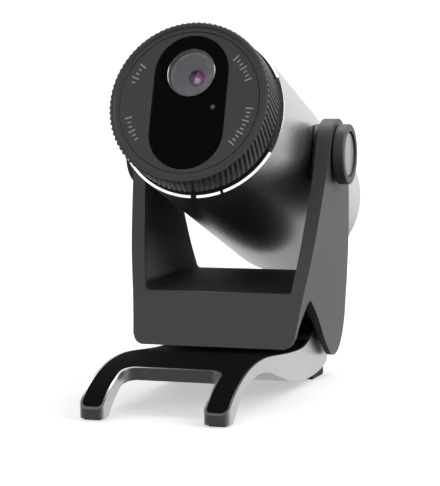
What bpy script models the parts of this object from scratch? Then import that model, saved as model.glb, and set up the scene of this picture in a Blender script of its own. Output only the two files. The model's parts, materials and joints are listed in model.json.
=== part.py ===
"""Webcam barrel in a tilting yoke on a two-prong stand foot.

Lengths in the tables below are millimetres, measured from the tilt pivot:
+X to the right seen from the front, +Y to the back, +Z up.  The finished
objects are in metres, with the ground at z = 0.
"""
import math

import bmesh
import bpy
from mathutils import Matrix, Vector

MM = 0.001

# ---------------------------------------------------------------- placing
PIVOT_HEIGHT = 54.3
PIVOT_BACK = 6.76
TILT_DEG = 17.6
FAR = 60.0
CUT_LOW_Z = -70.0
SEAM = 0.3

# ---------------------------------------------------------------- yoke
# Outer and inner half width of the yoke against height.
YOKE_OUTER = [(-54.0, 18.85), (-43.3, 19.15), (-33.6, 20.2), (-21.2, 22.0),
              (-6.6, 23.35), (0.0, 23.7), (12.0, 23.75)]
YOKE_INNER = [(-36.0, 16.9), (-31.4, 17.5), (-22.0, 18.75), (-13.0, 19.6),
              (-7.5, 20.15), (-3.0, 20.35), (2.0, 20.4), (14.0, 20.4)]
ARM_HEAD_RADIUS = 8.3
LINER_HEAD_RADIUS = 6.4
LINER_FRONT_LIP = 1.3
LINER_REAR_LIP = 1.5
LINER_FOOT_Z = -33.0
FRONT_LINE_TOP = (-8.1, 0.0)
FRONT_LINE_FOOT = (-22.55, -43.3)
REAR_LINE = [(13.5, -11.4), (15.8, -17.6), (18.2, -23.9), (21.7, -31.6)]
NOTCH = [(-21.2, -43.3), (-20.5, -41.2), (-19.2, -39.1), (-17.1, -36.7),
         (-15.1, -34.9), (-13.4, -33.7), (-12.0, -33.3), (-10.5, -33.7),
         (-9.0, -34.5), (-4.6, -36.9), (0.5, -40.3), (6.0, -44.6)]
HINGE = (15.5, -40.8)
TONGUE_RADIUS = 8.5
TONGUE_INNER_X = 17.65
LUG_RADIUS = 6.9
LUG_AIR = 0.55
FLOOR_Z_MID = -30.3
FLOOR_SLOPE = 0.052
FLOOR_FILLET = 0.9
LINER_THICK = 0.8
CORNER_RADIUS = 2.5
CORNER_CUT_Y = (-40.0, -14.0)
# Hollow under the crossbar: its ceiling, front wall and rear corner.
DECK_UNDER_Z = -33.3
DECK_UNDER_REAR_Y = 20.6
FRONT_WALL = 2.0
YOKE_EDGE = 0.35
ARM_BORE_RADIUS = 4.35
ARM_BORE_X = (20.0, 25.0)
LINER_BORE_RADIUS = 3.5
LINER_BORE_X = (19.0, 23.0)
BUSH_RADII = (3.3, 4.05)
BUSH_X = (21.75, 23.6)
WASHER_RADII = (2.35, 5.4)
WASHER_X = (16.87, 17.35)

# ---------------------------------------------------------------- foot
FOOT_HALF_WIDTH = 16.6
FORK_HALF_GAP = 11.0
FORK_ROOT_Y = -48.5
FORK_FILLET = 3.0
TIP_Y = -62.2
TIP_RADIUS = 1.9
FOOT_TOP = [(-62.2, -51.9), (-61.0, -50.8), (-59.2, -49.4), (-56.8, -47.9),
            (-54.0, -46.6), (-51.0, -45.5), (-47.0, -44.45), (-43.0, -43.85),
            (-39.0, -43.55), (-35.0, -43.5), (-30.0, -43.75),
            (-24.0, -44.25), (-16.0, -44.85), (-8.0, -45.15), (-3.2, -44.9),
            (1.2, -43.8), (5.0, -41.9)]
FOOT_BOTTOM = [(16.9, -51.2), (13.4, -52.1), (8.0, -52.7), (1.0, -53.0),
               (-5.0, -52.8), (-11.0, -52.2), (-16.0, -51.3), (-20.0, -50.3),
               (-24.0, -49.3), (-28.0, -48.2), (-32.0, -47.2), (-36.6, -46.5),
               (-41.0, -46.4), (-45.0, -46.8), (-48.5, -47.5), (-52.0, -48.9),
               (-55.3, -50.9), (-57.9, -53.1), (-58.9, -53.9), (-62.2, -53.9)]
FOOT_HEEL = [(17.9, -48.9), (17.7, -50.2)]
LUG_ARC_DEG = (172.0, -52.0)
FOOT_EDGE = 0.4
PAD_END_Y = 1.0
PAD_RIM = 0.5
PAD_DEPTH = 0.9
PAD_THICK = 0.65
GROUND = -PIVOT_HEIGHT
SOLE_TOP = -53.6
SOLE_X = (11.9, 15.7)
SOLE_Y = (-61.3, -59.2)
SOLE_CORNER = 0.6
SOLE_SEAT_GAP = 0.25
HEEL_PAD_Y = (6.2, 16.3)
HEEL_PAD_HALF = 16.0
HEEL_PAD_CHAMFER = 0.5
HEEL_PAD_AIR = 0.27
HEEL_PAD_EDGE = 0.25
PIN_RADIUS = 2.0
PIN_HALF_LENGTH = 18.5
PIN_CHAMFER = 0.3
PIN_HOLE_RADIUS = PIN_RADIUS + SEAM
PIN_BLIND_X = (17.0, 18.75)

# ---------------------------------------------------------------- head
BARREL_RADIUS = 19.25
BARREL_BORE = 17.3
BARREL_FRONT = -31.7
BARREL_REAR = 46.0
BARREL_CHAMFER = 0.25
BARREL_SHAFT_X = (14.0, 21.0)
REAR_ROUND = 3.6
REAR_BORE = 14.4
REAR_WALL_Y = 43.0
REAR_LIP = 0.4
LIGHT_ARCS = [("top", 26.5, 153.5), ("lower_left", -157.0, -91.2),
              ("lower_short", -87.1, -70.6), ("lower_right", -68.4, -27.5)]
NOTCH_ARCS = [(25.5, 154.5), (-158.0, -90.2), (-88.1, -26.5)]
LIGHT_BACK = -31.1
LIGHT_GAP = 0.1

RING_FRONT = -40.5
RING_BACK = -32.05
TEETH = 90
TOOTH_TIP = 18.3
TOOTH_ROOT = 17.9
TOOTH_TWIST_DEG = 6.0
RING_CHAMFER = 0.35
KNURL_BACK_Y = -33.0
NECK_Y = -32.7
NECK_RADIUS = 17.85
TAIL_RADIUS = 18.0
SLEEVE_BORE = 17.3
# Ring core: the turning sleeve's carrier, which reaches back into the barrel.
CORE_RADIUS = 17.0
CORE_LIP_RADIUS = 16.35
CORE_LIP_DEPTH = 1.1
CORE_BORE = 16.25
CORE_TAIL_RADIUS = 16.85
CORE_TAIL_Y = -27.5

# ---------------------------------------------------------------- face
PLATE_RADIUS = 15.95
PLATE_FRONT = -40.1
PLATE_THICK = 3.2
PLATE_CHAMFER = 0.2
WINDOW_HALF_WIDTH = 8.4
WINDOW_CENTRE = 6.65
WINDOW_SEAT_DEPTH = 1.1
WINDOW_Y = (PLATE_FRONT + 0.05, PLATE_FRONT + 0.82)
WINDOW_GAP = (0.2, -0.05)
LENS_Z = 6.6
LENS_HOME_Y = -33.0
PLATE_LENS_HOLE = 6.1
WINDOW_LENS_HOLE = 5.8
INDICATOR = (5.55, -1.1)
INDICATOR_RADIUS = 0.57
INDICATOR_HOLE = 0.85
INDICATOR_LENGTH = 0.75
FACE_CUT_Y = (-42.0, -30.0)

# ---------------------------------------------------------------- lens
# Holder: tube with a rounded front rim and a flange at its rear.
HOLDER_RIM_Y = -40.3
HOLDER_RADII = (5.2, 5.5)
FLANGE_RADII = (6.2, 7.1)
FLANGE_Y = (-31.0, -28.6)
HOLDER_BACK_Y = -30.0
# Cell: the moving cone and tube that carry both glasses.
CELL_FRONT_Y = -38.8
CELL_RADIUS = 4.9
CONE_MOUTH_RADIUS = 4.5
CONE_THROAT = (1.9, -36.6)
THROAT_BACK_Y = -33.6
CELL_SEAT = (3.4, -32.6)
CELL_BACK_Y = -31.2
FRONT_GLASS_RADII = (4.8, 4.4)
FRONT_GLASS_Y = (-39.1, -39.07)
FRONT_GLASS_CROWN = (0.95, 0.4)
INNER_GLASS = [(0, -32.6), (1.4, -32.4), (2.7, -31.9), (3.1, -31.6),
               (3.1, -31.3), (0, -31.3)]

# ---------------------------------------------------------------- inside
CHASSIS_BORE = 14.4
CHASSIS_RADIUS = 15.9
CHASSIS_Y = (-36.6, -14.0)
COLLAR_RADIUS = 17.0
COLLAR_Y = (-27.15, -25.0)
LENS_WALL_BORE = 3.0
LENS_WALL_Y = (-23.5, -21.5)
SENSOR_BOARD = ((-7.4, 7.4), (-26.0, -25.0), (-4.0, 11.8))
SENSOR_HALF = 3.0
SENSOR_HALF_WIDTH = 3.5
SENSOR_Y = (-27.3, -26.25)
REAR_FRAME_RADII = (14.7, 17.0)
REAR_FRAME_Y = (38.0, 42.7)
RAIL_X = (11.4, 13.6)
RAIL_Y = (-8.0, 40.5)
RAIL_Z = (-9.2, -6.8)
MAIN_BOARD = ((-13.2, 13.2), (-9.0, 37.5), (-6.5, -5.3))
CHIPS = {"video_processor": ((-6.0, 6.0), (4.0, 16.0), (-5.0, -3.6)),
         "memory_chip": ((-5.0, 5.0), (20.0, 27.0), (-5.0, -4.0))}
BOARD_CORNER = 0.5
CHIP_CORNER = 0.25

# ---------------------------------------------------------------- rear
PANEL_RADIUS = 14.1
PANEL_Y = (43.3, 45.1)
# The rim's corners start off the axis, clear of those of the cutters.
PANEL_RIM_DEG = (4.5, 355.5)
PORT_Z = -3.2
PORT_HALF = (4.95, 2.05)
SOCKET_HALF = (4.6, 1.7)
SOCKET_WALL = 0.35
SOCKET_Y = (37.9, 44.7)
SOCKET_FLOOR_Y = 38.6
TONGUE_HALF = (3.3, 0.35)
TONGUE_Y = (38.85, 43.9)
SCREW_X = 10.0
SCREW_SEAT_RADIUS = 2.2
SCREW_SEAT_Y = 44.1
SCREW_HOLE_RADIUS = 1.2
SCREW_SHANK_RADIUS = 0.9
SCREW_HEAD_RADIUS = 1.9
SCREW_HEAD_Y = (44.35, 45.0)
SCREW_TIP_Y = 39.5
DRIVE_RADIUS = 0.95
DRIVE_Y = 44.6
VENTS = 5
VENT_PITCH = 2.4
VENT_RADIUS = 0.55
VENT_Z = 6.5

# ---------------------------------------------------------------- pivots
SHAFT_RADIUS = 3.0
SHAFT_HOLE = SHAFT_RADIUS + 0.4
SHAFT_HEAD_RADIUS = 5.0
SHAFT_HEAD_X = (14.6, 15.9)
SHAFT_TIP_X = 25.1
BOSS_RADIUS = 7.0
BOSS_INNER_X = 16.5
BOSS_OUTER_X = 19.85
SADDLE_GAP = 0.28
SADDLE_Y = (-20.0, 20.0)
PIVOT_EDGE = 0.3
CAP_RADIUS = 7.04
CAP_INNER_X = 24.05
CAP_OUTER_X = 26.67
CAP_SOCKET = (3.3, 25.4)
CAP_DISH = (5.3, 25.7)
DISC_RADIUS = 5.0
DISC_X = (25.97, 26.28)

# ---------------------------------------------------------------- colours
MATERIALS = {
    "yoke_grey": ((0.060, 0.060, 0.062), 0.10, 0.42),
    "liner_grey": ((0.045, 0.045, 0.047), 0.05, 0.50),
    "satin_aluminium": ((0.62, 0.62, 0.63), 1.00, 0.30),
    "foot_silver": ((0.56, 0.56, 0.57), 1.00, 0.28),
    "pad_black": ((0.008, 0.008, 0.009), 0.00, 0.55),
    "rubber_black": ((0.015, 0.015, 0.016), 0.00, 0.75),
    "ring_grey": ((0.055, 0.055, 0.057), 0.30, 0.40),
    "plate_grey": ((0.050, 0.050, 0.052), 0.10, 0.45),
    "window_black": ((0.004, 0.004, 0.004), 0.00, 0.05),
    "lens_glass": ((0.16, 0.16, 0.17), 0.00, 0.04),
    "lens_cell_grey": ((0.070, 0.070, 0.073), 0.20, 0.35),
    "light_white": ((0.95, 0.95, 0.95), 0.00, 0.30),
    "steel": ((0.55, 0.55, 0.56), 1.00, 0.25),
    "cap_silver": ((0.45, 0.45, 0.46), 1.00, 0.30),
    "board_green": ((0.020, 0.110, 0.050), 0.00, 0.50),
    "chip_black": ((0.020, 0.020, 0.022), 0.00, 0.50),
    "frame_plastic": ((0.022, 0.022, 0.024), 0.00, 0.60),
    "brass": ((0.60, 0.43, 0.18), 1.00, 0.30),
}


# ================================================================ helpers
def clear_scene():
    for obj in list(bpy.data.objects):
        bpy.data.objects.remove(obj, do_unlink=True)
    for mesh in list(bpy.data.meshes):
        bpy.data.meshes.remove(mesh)


def material(name):
    mat = bpy.data.materials.get(name)
    if mat:
        return mat
    colour, metallic, roughness = MATERIALS[name]
    mat = bpy.data.materials.new(name)
    mat.use_nodes = True
    shader = mat.node_tree.nodes["Principled BSDF"]
    shader.inputs["Base Color"].default_value = (*colour, 1.0)
    shader.inputs["Metallic"].default_value = metallic
    shader.inputs["Roughness"].default_value = roughness
    mat.diffuse_color = (*colour, 1.0)
    return mat


def from_bmesh(bm, name):
    bmesh.ops.recalc_face_normals(bm, faces=bm.faces)
    mesh = bpy.data.meshes.new(name)
    bm.to_mesh(mesh)
    bm.free()
    obj = bpy.data.objects.new(name, mesh)
    bpy.context.scene.collection.objects.link(obj)
    return obj


def loft(name, sections, closed_path=False):
    """Skin a list of equal-length loops and cap both ends."""
    bm = bmesh.new()
    rows = [[bm.verts.new(p) for p in section] for section in sections]
    count = len(rows[0])
    pairs = list(zip(rows, rows[1:]))
    if closed_path:
        pairs.append((rows[-1], rows[0]))
    for low, high in pairs:
        for i in range(count):
            j = (i + 1) % count
            bm.faces.new((low[i], low[j], high[j], high[i]))
    if not closed_path:
        bm.faces.new(rows[0][::-1])
        bm.faces.new(rows[-1])
    return from_bmesh(bm, name)


def prism_x(name, outline, x0, x1):
    return loft(name, [[(x, y, z) for y, z in outline] for x in (x0, x1)])


def prism_y(name, outline, y0, y1):
    return loft(name, [[(x, y, z) for x, z in outline] for y in (y0, y1)])


def prism_z(name, outline, z0, z1):
    return loft(name, [[(x, y, z) for x, y in outline] for z in (z0, z1)])


def spin(name, profile, axis, steps, centre=(0.0, 0.0)):
    """Turn a closed (radius, along) outline about the X or Y axis."""
    bm = bmesh.new()
    columns = []
    for k in range(steps):
        angle = 2.0 * math.pi * k / steps
        column = []
        for i, (r, along) in enumerate(profile):
            if r < 1e-9 and columns:
                column.append(columns[0][i])
                continue
            u = r * math.cos(angle) + centre[0]
            v = r * math.sin(angle) + centre[1]
            point = (u, along, v) if axis == "Y" else (along, u, v)
            column.append(bm.verts.new(point))
        columns.append(column)
    count = len(profile)
    for k in range(steps):
        here, there = columns[k], columns[(k + 1) % steps]
        for i in range(count):
            j = (i + 1) % count
            corners = [here[i], here[j], there[j], there[i]]
            unique = list(dict.fromkeys(corners))
            if len(unique) > 2:
                bm.faces.new(unique)
    return from_bmesh(bm, name)


def sector(name, r0, r1, y0, y1, start, end, steps):
    """Piece of a ring about the Y axis between two angles in degrees."""
    sections = []
    for k in range(steps + 1):
        angle = math.radians(start + (end - start) * k / steps)
        c, s = math.cos(angle), math.sin(angle)
        sections.append([(r0 * c, y0, r0 * s), (r1 * c, y0, r1 * s),
                         (r1 * c, y1, r1 * s), (r0 * c, y1, r0 * s)])
    return loft(name, sections)


def box(name, x, y, z):
    outline = [(x[0], y[0]), (x[1], y[0]), (x[1], y[1]), (x[0], y[1])]
    return prism_z(name, outline, z[0], z[1])


def rod_x(name, radius, x0, x1, y, z, steps=32):
    return spin(name, [(0, x0), (radius, x0), (radius, x1), (0, x1)], "X",
                steps, (y, z))


def rod_y(name, radius, y0, y1, x, z, steps=32):
    return spin(name, [(0, y0), (radius, y0), (radius, y1), (0, y1)], "Y",
                steps, (x, z))


def bake(obj):
    """Replace the mesh by its evaluated form and drop the modifiers."""
    graph = bpy.context.evaluated_depsgraph_get()
    baked = bpy.data.meshes.new_from_object(obj.evaluated_get(graph))
    obj.modifiers.clear()
    old = obj.data
    obj.data = baked
    bpy.data.meshes.remove(old)


def combine(obj, tool, operation):
    mod = obj.modifiers.new("combine", "BOOLEAN")
    mod.operation = operation
    mod.solver = "EXACT"
    mod.object = tool
    bpy.context.view_layer.update()
    bake(obj)
    mesh = tool.data
    bpy.data.objects.remove(tool, do_unlink=True)
    bpy.data.meshes.remove(mesh)
    return obj


def cut(obj, *tools):
    for tool in tools:
        combine(obj, tool, "DIFFERENCE")
    return obj


def keep(obj, tool):
    return combine(obj, tool, "INTERSECT")


def join(obj, *tools):
    for tool in tools:
        combine(obj, tool, "UNION")
    return obj


def tidy(obj, distance=0.004):
    bm = bmesh.new()
    bm.from_mesh(obj.data)
    bmesh.ops.remove_doubles(bm, verts=bm.verts, dist=distance)
    bmesh.ops.dissolve_degenerate(bm, edges=bm.edges, dist=distance)
    bmesh.ops.dissolve_limit(bm, angle_limit=math.radians(0.4),
                             verts=bm.verts, edges=bm.edges)
    bm.to_mesh(obj.data)
    bm.free()
    return obj


def bevel(obj, width, steps=1, angle=35.0):
    mod = obj.modifiers.new("edge", "BEVEL")
    mod.width = width
    mod.segments = steps
    mod.limit_method = "ANGLE"
    mod.angle_limit = math.radians(angle)
    mod.use_clamp_overlap = True
    bpy.context.view_layer.update()
    bake(obj)
    return obj


def finish(obj, slot, tilted=False, sharp=32.0, home=None):
    """Scale to metres, put in the world and give material and shading."""
    turn = Matrix.Rotation(-math.radians(TILT_DEG), 4, "X")
    pivot = Vector((0.0, PIVOT_BACK, PIVOT_HEIGHT))
    start = Vector(home) if home else Vector((0.0, 0.0, 0.0))
    mesh = obj.data
    if tilted:
        mesh.transform(turn)
        start = turn @ start
    mesh.transform(Matrix.Translation(-start))
    mesh.transform(Matrix.Scale(MM, 4))
    obj.location = (pivot + start) * MM
    bm = bmesh.new()
    bm.from_mesh(mesh)
    bmesh.ops.triangulate(bm, faces=bm.faces, quad_method="BEAUTY",
                          ngon_method="BEAUTY")
    bmesh.ops.recalc_face_normals(bm, faces=bm.faces)
    bm.to_mesh(mesh)
    bm.free()
    mesh.materials.clear()
    mesh.materials.append(material(slot))
    mesh.shade_smooth()
    mesh.set_sharp_from_angle(angle=math.radians(sharp))
    return obj


def smooth_line(points, steps):
    """Catmull-Rom curve through the points, `steps` pieces per span."""
    result = []
    last = len(points) - 1
    for i in range(last):
        p0 = points[max(i - 1, 0)]
        p1, p2 = points[i], points[i + 1]
        p3 = points[min(i + 2, last)]
        for k in range(steps):
            t = k / steps
            result.append(tuple(
                0.5 * (2 * b + (c - a) * t
                       + (2 * a - 5 * b + 4 * c - d) * t * t
                       + (3 * b - a - 3 * c + d) * t * t * t)
                for a, b, c, d in zip(p0, p1, p2, p3)))
    result.append(tuple(points[last]))
    return result


def value_at(table, key):
    """Read a smooth table of (key, value) pairs."""
    line = smooth_line(table, 6)
    if key <= line[0][0]:
        return line[0][1]
    for (k0, v0), (k1, v1) in zip(line, line[1:]):
        if key <= k1:
            return v0 + (v1 - v0) * (key - k0) / (k1 - k0)
    return line[-1][1]


def arc(centre, radius, start, end, steps):
    """Points on a circle, angles in degrees."""
    points = []
    for k in range(steps + 1):
        angle = math.radians(start + (end - start) * k / steps)
        points.append((centre[0] + radius * math.cos(angle),
                       centre[1] + radius * math.sin(angle)))
    return points


def rounded(corners, steps=4):
    """Polygon of (x, y, radius) corners with each corner rounded."""
    points = []
    count = len(corners)
    for i, (x, y, radius) in enumerate(corners):
        here = Vector((x, y))
        before = Vector(corners[i - 1][:2]) - here
        after = Vector(corners[(i + 1) % count][:2]) - here
        if radius <= 0.0:
            points.append((x, y))
            continue
        before.normalize()
        after.normalize()
        half = before.angle(after) / 2.0
        reach = radius / math.tan(half)
        middle = here + (before + after).normalized() * radius / math.sin(half)
        first = here + before * reach - middle
        second = here + after * reach - middle
        turn = first.angle_signed(second)
        for k in range(steps + 1):
            spot = first.copy()
            spot.rotate(Matrix.Rotation(-turn * k / steps, 2))
            points.append(tuple(middle + spot))
    return points


def tangent_angle(radius, point, side, centre=(0.0, 0.0)):
    """Angle (degrees) where a line from `point` touches a circle."""
    reach = (point[0] - centre[0], point[1] - centre[1])
    away = math.atan2(reach[1], reach[0])
    open_half = math.acos(radius / math.hypot(*reach))
    return math.degrees(away + side * open_half)


def tongue_arc(steps):
    """Rounded lower end of the tongue, touching the notch and rear lines."""
    start = tangent_angle(TONGUE_RADIUS, NOTCH[-1], 1, HINGE)
    end = tangent_angle(TONGUE_RADIUS, REAR_LINE[-1], -1, HINGE)
    return arc(HINGE, TONGUE_RADIUS, start, end, steps)


# ================================================================ yoke
def arm_outline(head_radius, front_foot, rear_line, steps):
    """Arm seen from the side: head circle with both edges tangent to it."""
    front = tangent_angle(head_radius, front_foot, -1)
    rear = tangent_angle(head_radius, rear_line[0], 1)
    head = arc((0.0, 0.0), head_radius, rear, front + 360.0, steps)
    return [tuple(p) for p in reversed(rear_line)] + head


def yoke_side():
    outline = arm_outline(ARM_HEAD_RADIUS, FRONT_LINE_FOOT, REAR_LINE, 14)
    outline.append(FRONT_LINE_FOOT)
    outline += NOTCH
    return outline + tongue_arc(11)


def outer_outline():
    heights = [-54.0, -47.0, -43.3, -38.0, -33.6, -27.0, -21.2, -14.0, -6.6,
               0.0, 12.0]
    right = [(value_at(YOKE_OUTER, z), z) for z in heights]
    return right + [(-x, z) for x, z in reversed(right)]


def floor_height(y):
    return FLOOR_Z_MID + FLOOR_SLOPE * y


def gap_section(y, offset):
    """Front view of the space between the arms, grown by `offset`."""
    floor = floor_height(y) - offset
    radius = FLOOR_FILLET + offset
    heights = [-24.0, -18.0, -12.0, -6.0, 0.0, 8.0, 16.0]
    wide = value_at(YOKE_INNER, floor + radius) + offset
    right = arc((wide - radius, floor + radius), radius, -90.0, 0.0, 5)
    right += [(value_at(YOKE_INNER, z) + offset, z) for z in heights]
    left = [(-x, z) for x, z in reversed(right)]
    return [(x, y, z) for x, z in right + left]


def gap_solid(name, offset, reach=FAR):
    return loft(name, [gap_section(y, offset) for y in (-reach, reach)])


def front_wall_y(z, depth):
    (y0, z0), (y1, z1) = FRONT_LINE_TOP, FRONT_LINE_FOOT
    return y0 + (y1 - y0) * (z - z0) / (z1 - z0) + depth


def deck_cavity():
    """Hollow under the crossbar, open downwards for the foot lug."""
    low = FRONT_LINE_FOOT[1]
    outline = [(front_wall_y(-FAR, FRONT_WALL) + 5.0, -FAR),
               (front_wall_y(low, FRONT_WALL), low - 0.1),
               (front_wall_y(DECK_UNDER_Z, FRONT_WALL), DECK_UNDER_Z),
               (DECK_UNDER_REAR_Y, DECK_UNDER_Z)]
    lug_space = arc(HINGE, LUG_RADIUS + LUG_AIR, 42.0, -9.0, 6)
    outline += lug_space
    outline += [(FAR / 2.0, lug_space[-1][1] - 0.43), (FAR / 2.0, -FAR)]
    return prism_x("cavity", outline, -TONGUE_INNER_X, TONGUE_INNER_X)


def liner_side(grow):
    """Side outline of the inner liner, or of its pocket when grown."""
    rear = [(y - LINER_REAR_LIP + grow, z) for y, z in REAR_LINE
            if z > LINER_FOOT_Z]
    depth = LINER_FRONT_LIP - grow
    front_foot = (front_wall_y(LINER_FOOT_Z, depth), LINER_FOOT_Z)
    side = arm_outline(LINER_HEAD_RADIUS + grow, front_foot, rear, 16)
    return side + [front_foot, (rear[-1][0], LINER_FOOT_Z)]


def corner_cutter(side):
    """Shape that rounds one lower corner of the front wall."""
    low = FRONT_LINE_FOOT[1]
    wide = value_at(YOKE_OUTER, low)
    centre = (wide - CORNER_RADIUS, low + CORNER_RADIUS)
    outline = arc(centre, CORNER_RADIUS, -90.0, -8.0, 6)
    outline += [(wide + 3.0, centre[1]), (wide + 3.0, low - 2.0),
                (centre[0], low - 2.0)]
    return prism_y("corner", [(side * x, z) for x, z in outline],
                   *CORNER_CUT_Y)


def build_yoke_shell():
    shell = prism_x("yoke_shell", yoke_side(), -FAR, FAR)
    keep(shell, prism_y("outer", outer_outline(), -FAR, FAR))
    cut(shell, gap_solid("gap", 0.0))
    rebate = gap_solid("rebate", LINER_THICK + SEAM)
    keep(rebate, prism_x("side", liner_side(SEAM), -FAR, FAR))
    cut(shell, rebate)
    tidy(shell)
    cut(shell, corner_cutter(1.0), corner_cutter(-1.0), deck_cavity())
    for sign in (1.0, -1.0):
        low, high = (sign * x for x in ARM_BORE_X)
        cut(shell, rod_x("bore", ARM_BORE_RADIUS, low, high, 0.0, 0.0, 24))
        low, high = (sign * x for x in PIN_BLIND_X)
        cut(shell, rod_x("pin_hole", PIN_HOLE_RADIUS, low, high, *HINGE, 20))
    tidy(shell)
    bevel(shell, YOKE_EDGE, 1, 40.0)
    finish(shell, "yoke_grey", home=(0.0, *HINGE))


def build_yoke_liner():
    liner = gap_solid("yoke_liner", LINER_THICK)
    cut(liner, gap_solid("inside", 0.0, FAR + 10.0))
    keep(liner, prism_x("side", liner_side(0.0), -FAR, FAR))
    for sign in (1.0, -1.0):
        low, high = (sign * x for x in LINER_BORE_X)
        cut(liner, rod_x("bore", LINER_BORE_RADIUS, low, high, 0.0, 0.0, 28))
    tidy(liner)
    finish(liner, "liner_grey", home=(0.0, *HINGE))


def collar(name, radii, reach, sign, steps, centre=(0.0, 0.0)):
    """Plain ring about the X axis, such as a bush or a washer."""
    inner, outer = radii
    low, high = (sign * x for x in reach)
    return spin(name, [(inner, low), (outer, low), (outer, high),
                       (inner, high)], "X", steps, centre)


def build_yoke():
    build_yoke_shell()
    build_yoke_liner()
    for name, sign in (("left", -1.0), ("right", 1.0)):
        bush = collar("arm_bush_" + name, BUSH_RADII, BUSH_X, sign, 20)
        finish(bush, "brass", home=(0.0, *HINGE))
        washer = collar("hinge_washer_" + name, WASHER_RADII, WASHER_X, sign,
                        20, HINGE)
        finish(washer, "steel", home=(0.0, *HINGE))


# ================================================================ foot
def foot_side():
    rise = arc(HINGE, LUG_RADIUS, *LUG_ARC_DEG, 22)
    return FOOT_TOP + rise + FOOT_HEEL + FOOT_BOTTOM


def fork_outline(inset, rear_y):
    wide = FOOT_HALF_WIDTH - inset
    slot = FORK_HALF_GAP + inset
    root = FORK_ROOT_Y + inset
    tip = TIP_Y + inset
    outer = max(TIP_RADIUS - inset, 0.6)
    inner = outer * 0.7
    return rounded([
        (-wide, rear_y, 0.0), (-wide, tip, outer), (-slot, tip, inner),
        (-slot, root, FORK_FILLET), (slot, root, FORK_FILLET),
        (slot, tip, inner), (wide, tip, outer), (wide, rear_y, 0.0)])


def top_band(low, high):
    """Strip that follows the foot's upper face, seen from the side."""
    top = [p for p in FOOT_TOP if p[0] < PAD_END_Y]
    first = (TIP_Y - 2.0, top[0][1] - 1.9)
    top = [first] + top + [(PAD_END_Y, value_at(FOOT_TOP, PAD_END_Y))]
    return ([(y, z + high) for y, z in top]
            + [(y, z + low) for y, z in reversed(top)])


def sole_outline(sign, grow):
    x0, x1 = SOLE_X[0] - grow, SOLE_X[1] + grow
    y0, y1 = SOLE_Y[0] - grow, SOLE_Y[1] + grow
    corners = rounded([(x, y, SOLE_CORNER) for x, y in
                       ((x0, y0), (x1, y0), (x1, y1), (x0, y1))], 3)
    return [(sign * x, y) for x, y in corners]


def under_height(y):
    return value_at(list(reversed(FOOT_BOTTOM)), y)


def build_foot_casting():
    casting = prism_x("foot_casting", foot_side(), -FOOT_HALF_WIDTH,
                      FOOT_HALF_WIDTH)
    keep(casting, prism_z("plan", fork_outline(0.0, FAR), CUT_LOW_Z, 0.0))
    tidy(casting)
    bevel(casting, FOOT_EDGE, 1, 40.0)
    tidy(casting)
    recess = prism_x("recess", top_band(-PAD_DEPTH, 3.0), -FAR, FAR)
    keep(recess, prism_z("plan", fork_outline(PAD_RIM, PAD_END_Y),
                         CUT_LOW_Z, 0.0))
    cut(casting, recess)
    cut(casting, rod_x("pin_hole", PIN_HOLE_RADIUS, -FAR, FAR, *HINGE, 24))
    for sign in (1.0, -1.0):
        cut(casting, prism_z("sole_pocket", sole_outline(sign, SOLE_SEAT_GAP),
                             -FAR, SOLE_TOP + SOLE_SEAT_GAP))
    tidy(casting)
    finish(casting, "foot_silver", home=(0.0, *HINGE))


def build_foot_pads():
    pad = prism_x("foot_top_pad", top_band(-PAD_THICK, 0.0), -FAR, FAR)
    keep(pad, prism_z("plan", fork_outline(PAD_RIM + SEAM, PAD_END_Y - SEAM),
                      CUT_LOW_Z, 0.0))
    tidy(pad)
    finish(pad, "pad_black")

    for name, sign in (("left", -1.0), ("right", 1.0)):
        sole = prism_z("tip_sole_" + name, sole_outline(sign, 0.0), GROUND,
                       SOLE_TOP)
        finish(sole, "rubber_black")

    y0, y1 = HEEL_PAD_Y
    stations = [y0 + (y1 - y0) * k / 6 for k in range(7)]
    outline = [(y0, GROUND), (y1 - HEEL_PAD_CHAMFER, GROUND),
               (y1, GROUND + HEEL_PAD_CHAMFER)]
    outline += [(y, under_height(y) - HEEL_PAD_AIR) for y in reversed(stations)]
    heel = prism_x("heel_pad", outline, -HEEL_PAD_HALF, HEEL_PAD_HALF)
    bevel(heel, HEEL_PAD_EDGE, 1, 50.0)
    finish(heel, "rubber_black")


def build_foot():
    build_foot_casting()
    build_foot_pads()
    end, small = PIN_HALF_LENGTH, PIN_RADIUS - PIN_CHAMFER
    side = end - PIN_CHAMFER
    pin = spin("hinge_pin", [
        (0, -end), (small, -end), (PIN_RADIUS, -side), (PIN_RADIUS, side),
        (small, end), (0, end)], "X", 24, HINGE)
    finish(pin, "steel", home=(0.0, *HINGE))


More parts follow.
